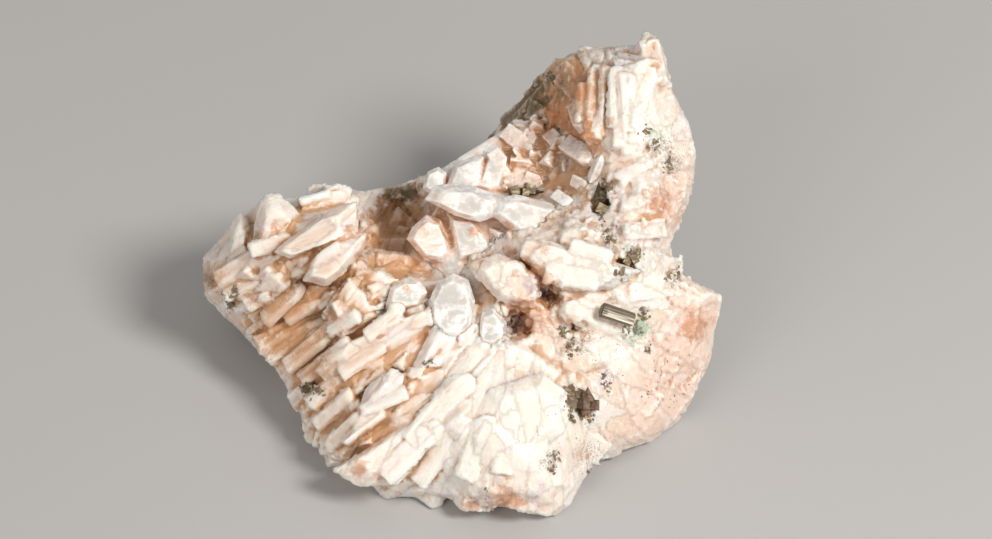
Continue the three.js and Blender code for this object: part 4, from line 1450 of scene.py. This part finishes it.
def rock_piece(heap, filler):
    vertices, faces, find = source_surfaces([plain_copy("zeolite_mass"), filler], heap)
    rock = remeshed(mesh_piece("zeolite_rock", vertices, faces), ROCK_VOXEL)
    roughen(rock.data, find)
    meet(rock.data, crust_tree)
    thinned(rock, ROCK_TRIANGLES)
    shade_smoothly(rock.data)
    points = points_of(rock.data)
    normals = normals_of(rock.data)
    edges = edges_of(rock.data)
    face = vectors_of(rock.data, "laid")
    ways, shades = find(to_row(face))
    proud = relaxed(((points - relaxed(points, edges, 8)) * normals).sum(axis=1) / MM, edges, 1)
    sky = relaxed(openness(tree_of([rock.data]), points, normals, ROCK_SKY * MM), edges, 2)
    store_vectors(rock.data, "grain", grain_of(face, ways, shades))
    broken = patches(GRANULAR, face, 1.0)
    flush = 1 - 0.9 * smooth(face[:, 2] - bare.level_at(face), 0.3, 1.2)
    store(rock.data, "joint", blades_on(face, ways)[1] * (1 - broken) * flush)
    store(rock.data, "broken", broken)
    store(rock.data, "shade", relaxed(shades, edges, 1))
    store(rock.data, "edge", smooth(proud, 0.03, 0.16))
    # Concave creases, which the finish paints brown as shade
    store(rock.data, "crease_shade", smooth(proud, -0.02, -0.13))
    store(rock.data, "open", sky)
    store(rock.data, "back", behind(normals))
    mark_stains_and_shade(rock.data, STAINS_AND_SHADE)
    return rock


def clear_piece(heap, rock):
    vertices, faces = joined([plain_copy("clear_crystal_crust"), heap.body()])
    clear = remeshed(mesh_piece("clear_crystals", vertices, faces), CLEAR_VOXEL)
    rock_tree = tree_of([rock.data])
    points = points_of(clear.data)
    face = to_face(points)
    steps = 0.07 * facets(face / [5, 1.1, 1.1], 70) + 0.05 * gradient_noise(face, 1.2, 71)
    push_out(clear.data, points, normals_of(clear.data), steps)
    thinned(clear, CLEAR_TRIANGLES)
    shade_smoothly(clear.data)
    points = points_of(clear.data)
    edges = edges_of(clear.data)
    proud = ((points - relaxed(points, edges, 10)) * normals_of(clear.data)).sum(axis=1) / MM
    proud = relaxed(proud, edges, 1)
    store(clear.data, "edge", smooth(proud, 0.02, 0.14))
    # Concave seams, which the finish paints as shade
    store(clear.data, "seam_shade", smooth(-proud, 0.02, 0.14))
    away = np.array([rock_tree.find_nearest(Vector(p))[3] for p in points]) / MM
    store(clear.data, "seat", 1 - smooth(away, 0.05, 0.6))
    sky = openness(tree_of([rock.data, clear.data]), points, normals_of(clear.data), CLEAR_SKY * MM)
    store(clear.data, "open", relaxed(sky, edges, 2))
    mark_stains_and_shade(clear.data, ("tan", "rust", "brown"))
    return clear


def specks_piece(tree, random):
    """Dark grains half sunk in the surface, in clumps, and fine ones strewn singly."""
    clump = 18
    heap = CrystalHeap()
    for (x, y), radius, count, size in SPECKS + DUST:
        single = ((x, y), radius, count, size) in DUST
        places = count if single else max(2, count // clump)
        clumps = random.normal(size=(places, 2)) * radius * 0.6
        for _ in range(count):
            spread = random.normal(size=2) * random.uniform(0.15, 0.6)
            right, up = clumps[random.integers(len(clumps))] + spread
            hit, normal = face_hit(tree, x + right, y + up)
            big = size * random.uniform(0.3, 1.3) ** 1.3
            way = random.normal(size=3)
            way = way / np.linalg.norm(way) * big * random.uniform(0.4, 0.9)
            thick = big * random.uniform(0.4, 0.9)
            roll = random.uniform(0, math.pi)
            if hit is not None:
                middle = hit - normal * 0.1 * big
                heap.add(middle - way, middle + way, big, thick, roll, 0.2, 0.0, FOUR_SIDED)
    return mesh_piece("pyrite_specks", *heap.body())


def stage_piece():
    half = 3.0
    square = [(-half, -half, 0), (half, -half, 0), (half, half, 0), (-half, half, 0)]
    floor = mesh_piece("floor", square, [(0, 1, 2, 3)])
    floor.data.materials.append(floor_finish())


# Camera and light: the size of the view in pixels, how many millimetres a pixel covers, the place on the
# face at the view's middle, and how far off and how high the camera stands, in metres and radians
PHOTO_SIZE = (992, 539)
MM_PER_PIXEL = 0.1566
PHOTO_MIDDLE = (5.56, 37.8, -8.0)
CAMERA_AWAY = 0.9
CAMERA_HEIGHT = math.radians(44)
SENSOR_WIDTH = 36
# The middle of the specimen, which the lamps shine at, in metres
LIT_MIDDLE = Vector((0, 0, 0.02))


def camera_piece():
    target = Vector(to_row(PHOTO_MIDDLE))
    back = Vector((0, -math.cos(CAMERA_HEIGHT), math.sin(CAMERA_HEIGHT)))
    data = bpy.data.cameras.new("camera")
    data.sensor_width = SENSOR_WIDTH
    data.lens = SENSOR_WIDTH * CAMERA_AWAY / (PHOTO_SIZE[0] * MM_PER_PIXEL * MM)
    data.clip_start = 0.05
    data.clip_end = 20
    camera = add_piece("camera", data)
    camera.location = target + back * CAMERA_AWAY
    camera.rotation_euler = back.to_track_quat("Z", "Y").to_euler()
    bpy.context.scene.camera = camera


def lamp(name, place, size, power, colour):
    data = bpy.data.lights.new(name, "AREA")
    data.shape = "DISK"
    data.size = size
    data.energy = power
    data.color = colour
    light = add_piece(name, data)
    light.location = place
    light.rotation_euler = (Vector(place) - LIT_MIDDLE).to_track_quat("Z", "Y").to_euler()


def light_up():
    lamp("key", (0.44, -0.34, 0.60), 0.26, 5.5, (1.0, 0.96, 0.90))
    lamp("fill", (-0.5, -0.7, 0.5), 0.6, 2.3, (1.0, 0.94, 0.88))
    world = bpy.data.worlds.new("studio")
    bpy.context.scene.world = world
    world.use_nodes = True
    sky = world.node_tree.nodes["Background"].inputs
    sky["Color"].default_value = (1.0, 0.97, 0.94, 1)
    sky["Strength"].default_value = 0.40
    bpy.context.scene.view_settings.view_transform = "Standard"


# The specimen
mass_tree = tree_of([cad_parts["zeolite_mass"].data])
crust_tree = tree_of([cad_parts["clear_crystal_crust"].data])
whole_tree = tree_of([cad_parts[name].data for name in ("zeolite_mass", "clear_crystal_crust")])
bare = Relief(mass_tree)
filler = filling(bare)
filled_tree = tree_of_faces(*joined([plain_copy("zeolite_mass"), filler]))
ground = Relief(filled_tree)


def open_mass(x, y):
    """The filled mass at a place on the face, unless the clear crust covers it."""
    hit, normal = face_hit(filled_tree, x, y)
    cover = face_hit(crust_tree, x, y)[0]
    if hit is not None and cover is not None and cover[2] > hit[2]:
        return None, None
    return hit, normal


def open_crust(x, y):
    """The clear crust at a place on the face, where the mass doesn't cover it or come near."""
    near = 0.5
    hit, normal = face_hit(crust_tree, x, y)
    cover = face_hit(mass_tree, x, y)[0]
    if hit is None or (cover is not None and cover[2] > hit[2] - near):
        return None, None
    return hit, normal


random = np.random.default_rng(7)
blades = CrystalHeap()
for field in BLADE_FIELDS:
    grow_field(blades, field, open_mass, random, proud=1.6)
for field in GRAIN_FIELDS:
    grow_field(blades, field, open_mass, random, proud=2.6, corners=FOUR_SIDED, stray=1.2)
for row in SINGLE_BLADES:
    lay_blade(blades, filled_tree, *row)
small_clear = CrystalHeap()
for row in SINGLE_BLOCKS:
    lay_blade(small_clear, whole_tree, *row, corners=FOUR_SIDED)
for field in CLEAR_FIELDS:
    grow_field(small_clear, field, open_crust, random, stray=1.6)

rock = rock_piece(blades, filler)
clear = clear_piece(small_clear, rock)
specks = specks_piece(tree_of([rock.data]), random)

for piece, finish, slot in (
    (rock, zeolite_finish(), "zeolite"),
    (clear, clear_finish(), "clear_crystal"),
    (specks, speck_finish(), "pyrite"),
):
    piece.data.materials.append(finish)
    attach(piece, "root")
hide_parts("zeolite_mass")
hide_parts("clear_crystal_crust")

brassy = pyrite_finish("pyrite", (0.30, 0.255, 0.16), (0.12, 0.10, 0.06), 0.9)
pyrite_finishes = {
    "pyrite_bar": bar_finish(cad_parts["pyrite_bar"].data),
    "pyrite_in_front": pyrite_finish("pyrite_weathered", (0.27, 0.17, 0.11), (0.20, 0.13, 0.085), 0.4),
}
for name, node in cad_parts.items():
    if name.startswith("pyrite"):
        node.data.materials.clear()
        node.data.materials.append(pyrite_finishes.get(name, brassy))

stage_piece()
camera_piece()
light_up()


def corners(box):
    return [list(corner) for corner in box]
